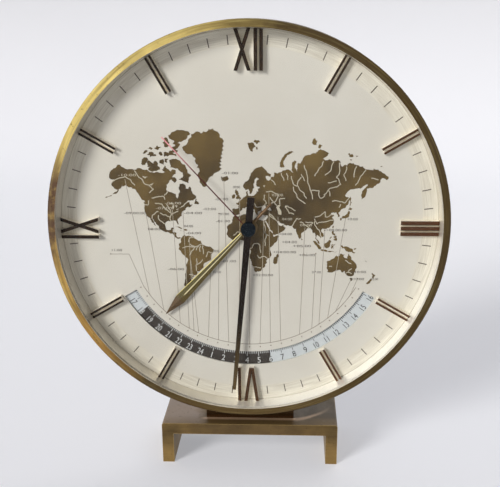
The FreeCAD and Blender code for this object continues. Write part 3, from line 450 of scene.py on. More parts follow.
# The finishes that the pieces name
case_brass()
stand_brass()
brushed("saddle_bronze", colour(78, 58, 38), colour(40, 30, 22), (60.0, 900.0, 900.0))
brushed("screw_steel", colour(176, 174, 170), colour(110, 100, 90), "round")
moulded("gasket_pale", colour(190, 184, 170))
crystal_clear()
flange_silver()
moulded("support_grey", colour(92, 91, 90))
brushed("back_plate_bronze", colour(108, 92, 74), colour(86, 72, 56), "round",
        metallic=0.6, rough=(0.38, 0.5), amount=0.3)
dial_silver()
marker_brass()
hand_finish("minute_hand_bronze", colour(44, 35, 30), colour(104, 80, 56),
            tip=(60.0, 104.0, colour(104, 86, 56)))
hour_hand_brass()
hand_finish("second_hand_red", colour(98, 44, 42), colour(112, 60, 52),
            tip=(46.0, 70.0, colour(255, 178, 180)))
brushed("cap_blue", colour(30, 36, 42), colour(22, 27, 32), "round", rough=(0.18, 0.3))
ink("scale_print", colour(216, 222, 222), colour(206, 213, 214))
brushed("gear_brass", colour(206, 176, 104), colour(150, 118, 66), "round", amount=0.2)
brushed("arbor_steel", colour(190, 190, 192), colour(130, 126, 120), (1500.0, 90.0, 1500.0))
brushed("frame_brass", colour(200, 170, 102), colour(146, 116, 70), (60.0, 800.0, 900.0), amount=0.25)
brushed("motor_iron", colour(128, 128, 132), colour(90, 84, 80), (200.0, 800.0, 800.0))
moulded("magnet_grey", colour(98, 98, 102), rough=(0.3, 0.45))
moulded("bobbin_white", colour(226, 224, 216))
brushed("winding_copper", colour(198, 124, 78), colour(140, 78, 44), (3200.0, 300.0, 300.0), relief=0.6)
moulded("board_green", colour(62, 116, 76), rough=(0.3, 0.42))
brushed("can_chrome", colour(222, 222, 224), colour(186, 186, 188), "round", rough=(0.1, 0.2))
moulded("battery_skin", colour(84, 92, 100), rough=(0.26, 0.38))
brushed("contact_spring", colour(206, 206, 202), colour(160, 156, 148), (300.0, 300.0, 900.0))
moulded("movement_black", colour(48, 47, 46), rough=(0.45, 0.62), relief=0.35)

for part in frame["record"]["subparts"]:
    mesh = frame["nodes"][part["node"]].data
    mesh.materials.clear()
    mesh.materials.append(finishes[part["material_slot"]])


def added(name, data):
    """A new object in the scene."""
    piece = bpy.data.objects.new(name, data)
    bpy.context.scene.collection.objects.link(piece)
    return piece


class Printing:
    """Flat pieces of one printing, gathered into one mesh that rides on a body."""

    def __init__(self, name, face, layer, *inks):
        self.name = name
        self.depth = face - layer * ink_step
        self.inks = inks
        self.mesh = bmesh.new()

    def face(self, points, tint=0):
        """A polygon of (right, up) points in dial units from the dial's middle."""
        area = sum(a[0] * b[1] - b[0] * a[1] for a, b in zip(points, points[1:] + points[:1]))
        if area < 0:
            points = points[::-1]
        corners = [self.mesh.verts.new((axis_x + x * unit, self.depth, axis_z + z * unit)) for x, z in points]
        self.mesh.faces.new(corners).material_index = tint

    def outline(self, points):
        """A polygon of any shape, cut into triangles."""
        corners, _, triangles = geometry.delaunay_2d_cdt([Vector(p) for p in points], [],
                                                         [list(range(len(points)))], 1, 0.0001)[:3]
        for triangle in triangles:
            self.face([tuple(corners[k]) for k in triangle])

    def line(self, points, width, tint=0):
        """A drawn line of even width through the points."""
        for start, end in zip(points, points[1:]):
            run = Vector((end[0] - start[0], end[1] - start[1]))
            if run.length > 0:
                side = Vector((-run.y, run.x)).normalized() * (width / 2)
                self.face([(start[0] - side.x, start[1] - side.y), (end[0] - side.x, end[1] - side.y),
                           (end[0] + side.x, end[1] + side.y), (start[0] + side.x, start[1] + side.y)], tint)

    def band(self, inner, outer, start, end, steps, tint=0):
        """A sector of a ring between two clock angles."""
        for k in range(steps):
            a = start + (end - start) * k / steps
            b = start + (end - start) * (k + 1) / steps
            self.face([at(inner, a), at(outer, a), at(outer, b), at(inner, b)], tint)

    def words(self, text, height, middle, up=0.0, stretch=1.0, tint=0, keep=None):
        """Figures set about a point. up is the clock angle of their upper side."""
        rise = at(1.0, up)
        right = (rise[1], -rise[0])
        for points in figures(text):
            shape = [(x * stretch * height, z * height) for x, z in points]
            shape = [(middle[0] + x * right[0] + z * rise[0], middle[1] + x * right[1] + z * rise[1])
                     for x, z in shape]
            if keep:
                shape = clip(shape, *keep)
            if len(shape) > 2:
                self.face(shape, tint)

    def done(self, body):
        """Turns the printing into a piece with its inks, riding on a body."""
        data = bpy.data.meshes.new(self.name)
        self.mesh.to_mesh(data)
        self.mesh.free()
        for shade in self.inks:
            data.materials.append(shade)
        piece = added(self.name, data)
        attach(piece, body)


def clip(points, through, normal):
    """The part of a polygon on the positive side of a line."""
    kept = []
    for a, b in zip(points, points[1:] + points[:1]):
        da = (a[0] - through[0]) * normal[0] + (a[1] - through[1]) * normal[1]
        db = (b[0] - through[0]) * normal[0] + (b[1] - through[1]) * normal[1]
        if da >= 0:
            kept.append(a)
        if da * db < 0:
            t = da / (da - db)
            kept.append((a[0] + t * (b[0] - a[0]), a[1] + t * (b[1] - a[1])))
    return kept


figure_store = {}


def figures(text):
    """The triangles of a number in the plain built-in font, one unit high and centred."""
    if text not in figure_store:
        data = bpy.data.curves.new("figures", "FONT")
        data.body = text
        data.resolution_u = 3
        writing = bpy.data.objects.new("figures", data)
        mesh = bpy.data.meshes.new_from_object(writing)
        xs = [v.co.x for v in mesh.vertices]
        low, high = min(v.co.y for v in mesh.vertices), max(v.co.y for v in mesh.vertices)
        size = high - low
        middle = (min(xs) + max(xs)) / 2
        figure_store[text] = [[((mesh.vertices[k].co.x - middle) / size,
                                (mesh.vertices[k].co.y - (low + high) / 2) / size) for k in f.vertices]
                              for f in mesh.polygons]
        bpy.data.objects.remove(writing)
        bpy.data.curves.remove(data)
        bpy.data.meshes.remove(mesh)
    return figure_store[text]


# Map: coasts, lakes and rivers in degrees east and north, listed from general knowledge
coasts = """
-168,66 -166.5,68.3 -163,69.5 -156.8,71.3 -150,70.5 -141,69.7 -135,69.3 -130,70.2 -125,69.8 -120,69.4
-115,68.2 -109,68 -104,68.3 -98,67.9 -95.5,68.2 -95,71.8 -91.5,69.7 -88,68.5 -85,69.6 -81.5,69 -82,67.4
-86,66.3 -87,64.5 -90.5,63.3 -94,61.5 -94.7,58.8 -92.5,57 -88,56.5 -82.5,55.2 -82,52.8 -79.5,51.3 -79,54
-76.8,56.5 -78.5,58.7 -77.5,60.5 -78,62.4 -73.5,62.3 -69.5,61 -69.7,59 -66,58.7 -64.5,60.3 -61.8,57.5
-59.5,55 -56,53 -58,51.3 -60,50.2 -66,50.2 -69,48.5 -65,49.2 -64.8,47 -63.5,46 -60.5,46.5 -63.5,44.7 -66,43.6
-66.5,45 -69,44 -70.7,42.5 -70,41.7 -74,40.6 -75.4,38.5 -76,36.8 -75.6,35.3 -78.5,33.8 -81,32 -81.3,30
-80.2,26.5 -81,25.2 -82.6,27.8 -84,30 -87,30.4 -89.5,29.3 -93,29.7 -95.5,28.8 -97.3,27.3 -97.7,24 -97,20.5
-95.8,18.7 -93,18.4 -91,18.8 -90.4,21 -87,21.4 -88,18.5 -88.5,16 -86,15.9 -83.3,15 -83.7,11.5 -81.8,9
-79.7,9.5 -77.4,8.6 -78.3,7.6 -80,7.4 -83.6,8.5 -85.7,10 -87.5,12.8 -91.5,14 -94.5,16.2 -96.5,15.7 -99.8,16.8
-102,18 -105.5,20 -106,22.5 -109,25.5 -111,28 -113,31.2 -114.7,31.7 -112.5,28 -110.5,24.3 -109.6,23 -112,24.8
-114.5,27.5 -115.8,30 -117.2,32.6 -120.6,34.6 -122.4,37 -124,40 -124.2,43 -124,46 -124.7,48.3 -122.5,48.5
-125.5,50.3 -128,52 -130.5,54.5 -133.5,57.5 -137,58.7 -140,59.8 -144,60 -148,60.8 -152,59.3 -151.5,61
-154,58.8 -157.5,56.6 -161,55.2 -164.8,54.6 -160.5,56.5 -157.7,58 -161.8,58.8 -165.5,61.3 -164.5,63 -161,63.6
-162,64.5 -166,64.5; -165.6,54.1 -168.5,53 -173,52 -176,51.5 -171.5,52.9 -168,53.8; -72.5,78 -69,78.8
-66,79.3 -64.5,80.6 -62,81.1 -60,81.4 -61,82.2 -56,82.5 -52,82.8 -48,82.3 -45,82.9 -41,82.7 -38,83.4 -33,83.5
-30,83 -27,82.8 -24,82 -25,81.4 -21,81 -19,80.3 -21,79.6 -19.5,78.8 -21.5,78 -20,77.2 -22,76.6 -21,75.6
-23.5,75 -21.5,74.2 -24,73.6 -22.5,72.6 -26,72.3 -22.8,71.4 -26,70.6 -22.5,69.9 -27,68.5 -30,68.1 -33,67.3
-34.5,66.3 -37.5,65.9 -39.5,65.5 -40.5,64.2 -42.8,62.9 -42.3,61.4 -44,60 -48,60.9 -49.7,62.3 -51.5,63.7
-52.6,65.6 -53.7,67.1 -50.8,68.7 -51.2,70 -54.6,70.4 -52.5,71.4 -55.8,72.3 -56,74 -59.5,75.4 -68,76; -80,73.7
-74,72.2 -68,70.3 -62,67 -65,65 -66,62.3 -71,63.5 -78,64.5 -73,65.6 -72.5,68 -79,70 -88.5,70.5 -89.5,73.2;
-117,70 -116.5,69.2 -113,68.6 -109,68.8 -105.5,68.9 -102,69.5 -101.5,70.3 -104.5,71 -105,72.6 -107.5,73.1
-109.5,72.6 -110.5,71.9 -113,72.6 -115.5,73.3 -118.5,72.8 -118,71.6 -115,71.5 -118,71 -113.5,70.6; -125.5,72
-124.5,73.6 -121.5,74.4 -117.5,74.1 -116,73.3 -119.5,72.1 -121,71.4 -123.5,71.3; -90,76.4 -84,76.2 -79,76.3
-78,77 -81,77.4 -78,77.9 -76,78.6 -75,79.3 -78,79.6 -74,79.9 -70,80.5 -66,81 -61.5,82.2 -66,82.9 -75,83.1
-82,82.8 -86,82.3 -89.5,81.9 -89,81.2 -86,80.7 -82,80 -84,79.6 -83,79.2 -81,78.9 -85,78.3 -86,77.8 -83.5,77.4
-88,77.1; -96.5,76.5 -88,76.2 -80.5,75.8 -80,74.7 -91.5,74.7; -97,79.8 -95,79.1 -95,78.4 -91,78.2 -89,79
-88,79.8 -90,80.5 -93,81.3 -97,80.9 -95,80.2; -117.5,75.3 -115,76.4 -111.5,76.7 -109,76.2 -109.5,75.5
-106.5,75.7 -106,75 -110,74.8 -113.5,74.4 -114,75.2; -104,78.8 -99,78.2 -103,77.2 -108,78; -95,74 -90.5,73.9
-92.5,72.2 -95.5,72.7; -102,73 -97,73.7 -97,71.5 -101.5,72; -87,64 -85,65.8 -80.5,64 -84,62.7; -24,65.6
-22.4,66.4 -21.2,65.4 -20.2,66 -18,66 -16.2,66.5 -14.6,65.8 -13.6,65 -15,64.3 -18.5,63.5 -20.5,63.6
-22.6,63.9 -21.8,64.5 -24,64.9 -22.2,65.2; -59.3,47.8 -57.5,50.5 -55.6,51.5 -55.8,49.7 -53,48.3 -53.5,46.7
-56,47; -84.9,22 -82.5,23.1 -77,21.8 -74.3,20.2 -77.5,19.9 -78,20.8 -82,22.5; -74.3,18.4 -73,19.9 -70,19.7
-68.5,18.5 -71.3,17.8; -67,18.4 -65.7,18.3 -66.5,17.9; -78.2,18.4 -76.3,18 -77.5,17.8; -77.4,8.6 -75.5,10.8
-71.8,12.3 -71.5,10.8 -68,11.5 -64.5,10.3 -61.8,10.7 -60,8.5 -57,6 -52,5 -50,1.5 -50,0 -44.5,-2.7 -40,-2.8
-37,-4.8 -35,-6.5 -35,-9 -38.5,-13 -39,-17.5 -41,-22 -44.5,-23.2 -48.5,-26 -48.8,-28.5 -52,-32.8 -54.5,-34.8
-57.8,-34.5 -57,-36.5 -58,-38.2 -62.2,-39 -62.3,-40.8 -65,-41 -64.5,-42.7 -65.5,-45 -67.5,-46 -65.8,-47.8
-69,-50.5 -68.5,-52.3 -65.2,-54.8 -70,-55 -74,-52.5 -75.5,-48 -74,-44 -73.7,-40 -73.2,-37 -71.5,-33
-71.5,-29.5 -70.3,-24 -70.3,-18.3 -76,-14 -78.5,-9.5 -81.2,-6 -80,-3.2 -80.8,-1 -80,1 -77.5,3.5; -61,-51.8
-58,-51.5 -59.5,-52.3; -6,35.8 -2,35.1 3,36.8 10,37.3 11,35 10.3,34 15,32.3 19.5,30.4 21.5,32.9 25,31.6
29,30.9 32.3,31.2 32.6,29.9 35.5,24 37.3,21 38.5,18 43.2,12.5 44.5,10.5 51.2,11.8 48,4.5 42,-1.5 39,-6
40.5,-11 40.5,-15 35,-20 35.5,-24 32.7,-26 32.5,-28.5 28,-33 25.5,-34 20,-34.8 18.3,-33 17,-29 15,-26.5
14.5,-22 11.8,-17 13.7,-11.5 12.2,-6 9,-1 9.6,4 6.2,4.3 1.5,6 -4,5.2 -7.5,4.4 -13.2,9 -16.8,12.5 -17.4,14.8
-16.2,18 -17,21 -14.5,26 -9.8,29.5 -9.5,32; -9.3,38.7 -8.8,43.2 -1.8,43.4 -1.2,46 -4.7,48.3 -1.5,48.7
-1.3,49.7 1.6,50.8 4.5,52.5 8.3,53.8 8.2,57 10.6,57.6 10.5,55.5 11,54.2 14,54 19,54.5 21,55.5 21.5,57.5
24,57.2 23.5,59.2 29.5,59.9 25,60.3 22,60.5 21.5,63 25.3,65 22,65.8 17.5,62 18.8,60 16.5,57.5 14.3,55.5
12.8,55.5 11,58.9 8,58.1 5.3,59.5 5.2,62 10.5,64 13.5,66.5 17,68.7 22,70.3 28,71 31,70.3 34,69.3 40.5,67.5
40,66.2 33,66.7 35,64.3 37.5,63.9 40,64.7 40,65.8 44,66.2 44.5,68.3 48,67.7 54,68.6 60,69.6 65,69.2 68.5,68.3
67,70.5 67,72.5 70,73.3 72.8,72.8 72,70 73.5,67.8 74,70 75,72.5 78,72.2 80.5,73.6 82,74.6 86,75.4 90,75.4
93,76.2 97,76.1 99.5,77 103,77.7 106.5,77.4 110,76.8 113.5,76 111,75 106,74 109.5,73.3 113.5,73.8 118.5,73
123,73.2 127,73.3 128.5,72 131,70.9 133.5,71.6 137,71.5 140,72.4 145,72.3 150,71.6 153,71 157,71 160,69.8
165,69.7 170,69.4 170.5,70.2 176,69.8 180,69 184,68 186,67.2 190,66.1 187,64.6 182,65.6 180,64.8 177.5,62.5
170.5,60 163.5,59.6 163,57.8 162,55 159.8,53 156.8,51 155.7,55 156.5,57.5 161.5,60.3 164,62.3 160,61.4
155,59.3 149,59.5 142.5,59 135.3,54.8 141,53 140.5,50 138,46.5 135,43.8 131,42.7 129.7,41 127.5,39.5 129.4,37
129,35.2 126.4,34.5 126.7,37.2 125,38.5 124.5,40 121.3,39 121.8,40.7 117.8,39.1 119,37.2 122.5,37.2 119.5,35
121.8,31.8 121.8,29 119.7,25.8 116.5,23 113.5,22 110.3,21 108,21.5 105.8,19 108.9,15.5 109.3,12 106.7,10.3
105,8.7 104.8,10.3 102.3,12 100.9,13.4 99.3,10.5 100.5,7.3 103.4,4 103.9,1.4 101.3,2.9 100.3,6 98.4,8.3
98.6,12 97.6,16.5 94.4,16 93.8,19.8 91.8,22.4 88.5,21.7 86.9,20.8 82.3,16.7 80.2,15.5 80,12.5 79.8,10.3
77.5,8.1 76.3,10 74.5,14 72.8,19 72.7,21.3 70.5,20.9 69,22.3 67.3,24.8 62,25.2 57.5,25.7 56.5,27.1 51.5,27.9
50,30.2 48,30 48.8,28 50.2,26.5 51.6,25 54,24.2 56.3,26.2 56.7,24 59.8,22.4 57.7,19 55,17 52,15.6 45,12.8
43.3,13.3 42.7,16.5 39,21.3 37,25 35,28 34.8,29.5 32.6,30.1 34.3,31.3 35.6,33.5 36,36.5 32.5,36.1 30.6,36.8
27.4,37 26.2,39.4 29,41.1 31.3,41.2 35,42 38.3,41 41.5,41.6 39,44 37,45.2 39,47.1 35,46.3 36.2,45.2 33.5,44.5
33,46.1 30.7,46.4 28.5,43.8 28,42 28.8,41.2 26,40.8 23.7,40.4 22.8,39 24,37.8 22.8,36.5 21.3,37.7 19.4,40.5
19.5,41.8 16,43.6 13.6,45 12.4,44.8 13.5,43.6 16,41.8 18.4,40.2 16.9,40.4 17,39 15.7,38 15.6,40 12.3,41.7
10.3,43.7 8.8,44.4 6.5,43.1 3.2,43.3 3.2,41.8 0,40 -0.3,38.5 -2.2,36.8 -5.5,36.1 -6.5,37 -9,37; -5.5,50.1
1.3,51.2 1.7,52.7 0.2,53.2 -1.5,55 -2,57.5 -4.5,57.8 -3.2,58.6 -5,58.5 -6,56.5 -4.8,54.8 -3,54 -4.5,53.2
-5,51.7 -3,51.4; -10,51.8 -6.3,52.2 -5.7,54.5 -7.5,55.3 -10,54.2 -9.5,53; 52,71.5 51.5,70.8 55,70.6 57.5,70.7
56,72.3 57,73.3 59.5,74.5 62.5,75.5 66,76 69,76.7 66,77 61,76.3 57,75.4 54,74 52.5,72.8; 10.6,79.5 12,78.2
14,77.4 16.6,76.6 17.2,77.6 18.8,78.3 21.3,78.5 19.2,79.1 16,79.9 13.8,79.7; 18,79.9 22,79.3 27,80 25,80.5
20,80.6; 21,78.2 21.5,77.4 24.2,77.6 23,78.4; 91.5,79.8 95.6,81.2 99,80.3 97.5,78.9 94,79.1; 99.8,78.2
101.5,79.3 105.3,78.8 102,77.9; 137.3,75.9 139.2,76.2 140.5,75.6 143,75.9 144.6,75 139.5,74.7; 147,75.4
150.6,75.2 148.4,74.7; 140,73.9 142.8,73.6 141,73.2; 178.7,71.2 182,71.4 180.5,70.8; 130.9,33.9 132.5,33.4
133.5,33.8 135.5,33.3 137,34.1 139,34.2 141,35.2 141.4,37.5 142.3,39.5 141.3,41.4 139.8,40.6 139,38.6
136.8,37.2 135.6,36 132.8,35.8; 129.5,33.2 131.2,34 132.1,33 131.5,31.1 130,31.2; 132.7,33.8 134.5,34.3
133.5,33; 140,41.5 141.7,45.4 145.3,43.4 143.2,42 141,42.5; 142,54.3 143.2,52.5 143,49.5 144.3,49 142.8,46.7
142,46 142.2,50; 119.9,23 121,25.4 122.2,24.9 121,21.8; 108.7,19.3 110.9,20 109.6,18.2; 119.6,16.2 120.3,18.6
122.5,18.5 121.9,16 124.2,14 124.3,12.4 121,13.4 119.8,14.8; 121.8,6.8 123.5,8.8 125.5,10 126.8,8 126.4,5.6
124,6; 121.8,11.8 124,12.2 125.8,12.4 125.5,10 123,8.9 121.8,10.5; 109.2,1.5 111.5,2.3 113.2,3.3 116.8,7
119.2,5 117.8,3 118,1 116.3,-3 114.5,-4 110.3,-2.8; 95.1,5.7 97.5,5.5 100.7,2.8 103.8,-0.3 106.4,-3 106,-6
104,-6 101.2,-3.2 98.7,0 96.7,2.5; 105,-6.6 107,-5.6 110.8,-6 114.6,-7.2 114.5,-8.9 110.5,-8.5 107,-7.9;
119.5,0.5 120.8,1.3 125,1.5 123.8,0.4 120.3,0.5 121.3,-1 123.3,-1 121.7,-2 122.5,-4.8 120.8,-3 120.3,-5.5
119.4,-4.5 118.9,-2.7; 115,-8.1 119,-7.9 122.8,-8 122.6,-9.2 118.8,-9.3 115.4,-9; 123.5,-10.2 127,-8.4
125,-10; 131,-0.6 134,-0.4 135,-3 138,-1.4 141.5,-2.4 145.5,-4.2 148,-6 147.7,-7.6 151,-10.2 149.5,-10.9
146.5,-9 143.5,-8.8 142.5,-9.5 139,-8.4 137.8,-7 137.3,-5.2 134.5,-4.2 132.6,-4 133.3,-2.6 131,-2.2;
148.5,-5.6 152.2,-4.2 150,-6.2; 113.7,-22.5 114.2,-26 115.7,-32 115,-34.2 118,-35 123.5,-33.9 126,-32.3
131.2,-31.5 135.5,-34.8 137.8,-32.8 138,-35.5 140.5,-38 143.6,-38.8 146.4,-39 149.9,-37.5 151.5,-33
153.5,-28.5 152.8,-25.3 149.2,-21 146,-18.8 145.3,-15.5 143.6,-14 142.5,-10.8 141.6,-13 140.8,-17.4 139,-17.2
135.5,-15 136.8,-12.3 133,-11.5 130.8,-12.2 129.5,-14.8 126.5,-14 123.5,-17 122,-18.2 118.5,-20.3;
144.7,-40.8 148.3,-40.9 147.8,-43.2 146,-43.5; 172.7,-34.5 175.5,-36.6 178.5,-37.7 176.8,-39.5 175.2,-41.6
173.8,-39.3 174.8,-37.5; 172.7,-40.6 174.2,-41.8 172.8,-43.8 170.8,-45.9 168.5,-46.6 166.5,-45.9 170.5,-43;
43.5,-22 43.3,-23.6 45.2,-25.6 47.2,-25 49.8,-16.5 50.6,-15.5 49.4,-12 47.6,-14.8 44.6,-16.4 44.2,-19; 80,9.7
81.8,7.3 80.5,6 79.8,8; 12.5,38 15.6,38.2 15.1,36.7; 8.3,41 9.7,41 9,39; 23.6,35.4 26.2,35.2 25,34.9; 32.4,35
34.4,35.6 33.5,34.7; -123.5,76.1 -121,76.9 -117.5,77.2 -115.8,76.8 -119,76.2 -121.5,75.8; -102.5,76.2
-100.5,76.7 -98.5,76.4 -97.8,75.2 -100.5,75 -102,75.6; -96.5,75.1 -94.5,75.7 -93.2,75 -95.3,74.5; -117,77.7
-114,78.3 -110,77.9 -112.5,77.3; -99.3,69.7 -96.5,69.7 -95.6,68.8 -98.5,68.5; 117,8.4 119.4,11.4 119.9,10.6
118,8; 164,-20.3 165.5,-20.6 167,-22.2 165.8,-22
"""
lakes = """
47,44.5 49,46.5 53,46.7 51,44.5 53.5,41 53.8,37 50,37.4 49.3,40.3; 58.3,45 60,46.5 61.5,45 59,43.7; 31.8,-0.5
34,0.3 33,-2.3; -92,46.8 -88.5,48.5 -84.7,46.7 -88,46.9; -87,46 -85,45.7 -86.5,41.8 -87.8,43; -84,46
-80.5,45.5 -82,43.2; -83,42 -79,42.9 -81.5,41.4; -79.5,43.5 -76.3,44.1 -77,43.3; -98.5,53.5 -97,53 -96.5,50.5
-97.5,51; -125,66.5 -118,66 -121.5,65; -117,61.2 -109.5,62.7 -113,61; 30.5,61.3 33,61.2 31.7,60
"""
rivers = """
66.5,66.5 69,62 75,61 83,56 86,52; 69,60.5 73.5,55 80,50 85,48; 82.5,71.5 87,66 90,60 92.5,56 94,51.5; 92,58
102,58 104,52.3 107,53 109.7,55.5; 127,72.5 123.5,66 129.5,62 120,60 108,55; 124,64 113,63; 149,71 146,66;
161,69.5 153,65 148,61.5; 136,71 133,67.5 136,64; 120,73 116,69 109,67; 107,73 102,70.5 96,66.5; 177,64.7
168,65.6; 114,59 116,54; 79,67.5 83,64; 130,47.5 128,44.5; 60,68 62,64.5; 74,61 79,66; 141,53 135,48.5
127.5,50 119,50; 47.8,46 44.5,48.7 49,55.5 40,57.5 34,57; 39.5,47.2 43.5,49 39,53; 32,46.6 34.8,48.3 30.6,51
32,55; 29.5,45.2 22.5,44.4 19,47.7 13,48.5 9,48; 40.5,64.5 46,61.5; 53.5,68 57,64; 51.8,47 51.5,51.5 58.5,52;
61.5,46 68,43 72,41; 60,44 64,38.5 70,37.5; 67.5,24 70.5,29 73,33 79,33; 90,22 85,25.5 78,29; 90,24 91,26
95,28.5 85,29.3; 121.5,31.7 113,30 106.5,29.5 100,26.8 97,33; 119,37.7 114,35 110.5,35 110.5,40.5 106.5,38
103,35.5 97,35; 106.5,10 105,15.5 100.5,21 97,30; 48,30.5 44,33.5 39.5,37.5; 47,31 40,35 38.5,38.5; 31.2,31
31,27 33,22 32.5,16 32.5,4 33,0; 32.5,15.5 37.3,12; 6.3,4.5 6.5,8 3.5,12 0,16.5 -3.5,16.8 -8.5,12; 12.5,-6
16,-4.3 18.5,1.5 24,1.5 26,-5 27,-11; 36,-18.5 30.5,-15.7 26,-17.8 22.5,-14; 16.5,-28.6 21,-28.7 27.5,-30;
-50,0 -55,-2 -60,-3.2 -66,-3 -73,-4 -76,-5; -60,-3 -66,0.5; -59,-3.5 -65,-10 -67,-15; -54.8,-2.4 -58,-8;
-52,-2 -53,-10; -49,-1.5 -48.5,-13; -61,8.8 -67,7.5 -68,3; -36.5,-10.4 -42.5,-10 -45,-17; -58.5,-34 -59,-27.5
-54,-25 -50,-20; -58.5,-27 -57.5,-19; -62.5,-39 -68,-38; -89.5,29.3 -91.3,32 -89.5,37 -91,42 -95,47;
-90.5,38.7 -96,41.5 -101,47 -110,47.7; -89,37 -84,39 -80,40.5; -91,34 -97,36.5 -104,38.3; -97.3,26 -103,29.3
-106.5,32 -106,36; -114.7,32 -114,36 -109.5,38.5 -106,40; -124,46.2 -119,46 -118,50; -164.5,62.7 -158,64.7
-147,66 -140.5,64.5 -135,61; -135,69 -129,65.5 -122,61.8 -117,61.3 -111,58.5 -117,56; -98.5,53.3 -106,53
-114,52; -93,57 -97.5,54; -67,49.4 -71.5,46.8 -76,44.3; 139.3,-35.3 142,-34.2 147,-36; 142,-34 147,-30;
138,-20 146,-24; 117,-28 121,-28
"""


# The map's fit on the dial: units per degree east, its middle meridian, its scale upwards and its drop
map_step, map_meridian, map_rise, map_drop = 0.478, 11.5, 27.4, 11.6


def on_map(lon, lat):
    """Degrees to dial units, on the projection that draws compass courses straight, eased near the pole."""
    lat -= max(0.0, lat - 74) * 0.2
    rise = math.log(math.tan(math.radians(45 + lat / 2)))
    return (lon - map_meridian) * map_step, map_rise * rise - map_drop


def shapes(text):
    """The outlines of a text, whose shapes are parted by semicolons, as points on the dial."""
    return [[on_map(*map(float, pair.split(","))) for pair in shape.split()] for shape in text.split(";")]


def roughened(points, closed, rounds, swing, dice):
    """A coast with small bays and capes: each run's middle is pushed aside a little, a few times over."""
    for _ in range(rounds):
        ends = points[1:] + points[:1] if closed else points[1:]
        finer = []
        for a, b in zip(points, ends):
            push = dice.uniform(-swing, swing)
            finer += [a, ((a[0] + b[0]) / 2 - push * (b[1] - a[1]), (a[1] + b[1]) / 2 + push * (b[0] - a[0]))]
        points = finer if closed else finer + [points[-1]]
    return points


def inside(point, outlines):
    """Whether a point lies in any of the outlines, each with its box."""
    for (left, right, low, high), shape in outlines:
        if left < point[0] < right and low < point[1] < high:
            odd = False
            for a, b in zip(shape, shape[1:] + shape[:1]):
                if (a[1] > point[1]) != (b[1] > point[1]):
                    odd ^= point[0] < a[0] + (point[1] - a[1]) * (b[0] - a[0]) / (b[1] - a[1])
            if odd:
                return True
    return False


brown_line = ink("brown_line", colour(124, 106, 84), colour(108, 90, 70))
dark_line = ink("dark_line", colour(88, 76, 64), colour(70, 60, 50))
pale_line = ink("pale_line", colour(206, 200, 180), colour(192, 184, 160), metallic=0.2)
land_gold = ink("land_gold", colour(124, 102, 58), colour(72, 58, 36), metallic=0.5,
                rough=(0.34, 0.5), size=34.0)
figure_dark = ink("figure_dark", colour(88, 80, 70), colour(74, 68, 60))
disc_black = ink("disc_black", colour(58, 51, 44), colour(48, 42, 37))
disc_white = ink("disc_white", colour(226, 229, 226), colour(216, 220, 218))
disc_day = ink("disc_day", colour(214, 221, 222), colour(206, 213, 215))
disc_dark = ink("disc_dark", colour(30, 28, 28), colour(24, 22, 22))
edge_dark = ink("edge_dark", colour(182, 174, 156), colour(166, 158, 140))

dice = random.Random(24)
lands = [roughened(shape, True, 3, 0.2, dice) for shape in shapes(coasts)]
boxes = [((min(x for x, _ in s), max(x for x, _ in s), min(z for _, z in s), max(z for _, z in s)), s)
         for s in lands]

land = Printing("map_land", dial_face, 2, land_gold)
for shape in lands:
    land.outline(shape)
land.done("case_and_stand")

river_width = 0.56
waters = Printing("map_waters", dial_face, 3, pale_line)
for shape in shapes(lakes):
    waters.outline(roughened(shape, True, 1, 0.12, dice))
for shape in shapes(rivers):
    waters.line(roughened(shape, False, 2, 0.16, dice), river_width)
waters.done("case_and_stand")

# Leader lines from places on the map to the printed arc, which stands over the window
arc_radius, arc_width = 78.2, 0.3
hour_step = 5  # degrees of the scale to the hour
leader_width, leader_step, place_size = 0.24, 0.6, 0.7
leaders = [
    ([(-171.8, -13.8), (-147.3, -13.8)], -11), ([(-147.7, 64.8)], -10), ([(-122.4, 37.8)], -8),
    ([(-87.6, 41.9)], -6), ([(-74, 40.7)], -5), ([(-66.9, 10.5)], -4.5), ([(-65.7, -21.5)], -4),
    ([(-38.5, -13)], -3), ([(-27, 38)], -2), ([(-20, 64)], -1), ([(0, 51.5)], 0), ([(12.5, 42)], 1),
    ([(31.2, 30)], 2), ([(37.6, 55.8)], 3), ([(49.5, 35)], 4), ([(84.5, 22.6)], 5.9), ([(99.3, -11.4)], 7.2),
    ([(110.5, 19.5)], 8), ([(137, 34)], 9), ([(146.5, -42)], 10), ([(155.2, -41)], 12)]
lines = Printing("leader_lines", dial_face, 1, brown_line)
over_land = Printing("leader_lines_on_land", dial_face, 4, pale_line)
for places, offset in leaders:
    route = [on_map(*place) for place in places] + [at(arc_radius, 180 - hour_step * (offset - 1))]
    lines.line(route, leader_width)
    x, z = route[0]
    lines.line([(x - place_size / 2, z), (x + place_size / 2, z)], place_size)
    for a, b in zip(route, route[1:]):
        steps = max(1, int(math.dist(a, b) / leader_step))
        points = [(a[0] + (b[0] - a[0]) * k / steps, a[1] + (b[1] - a[1]) * k / steps)
                  for k in range(steps + 1)]
        for start, end in zip(points, points[1:]):
            if inside(((start[0] + end[0]) / 2, (start[1] + end[1]) / 2), boxes):
                over_land.line([start, end], leader_width)

# The arc, and a dot outside it for each hour
lines.band(arc_radius - arc_width / 2, arc_radius + arc_width / 2, 120, 240, 48)
for offset in range(-12, 13):
    clock = 180 - hour_step * offset
    lines.band(arc_radius + 1.6, arc_radius + 2.4, clock - 0.22, clock + 0.22, 1)
lines.done("case_and_stand")
over_land.done("case_and_stand")

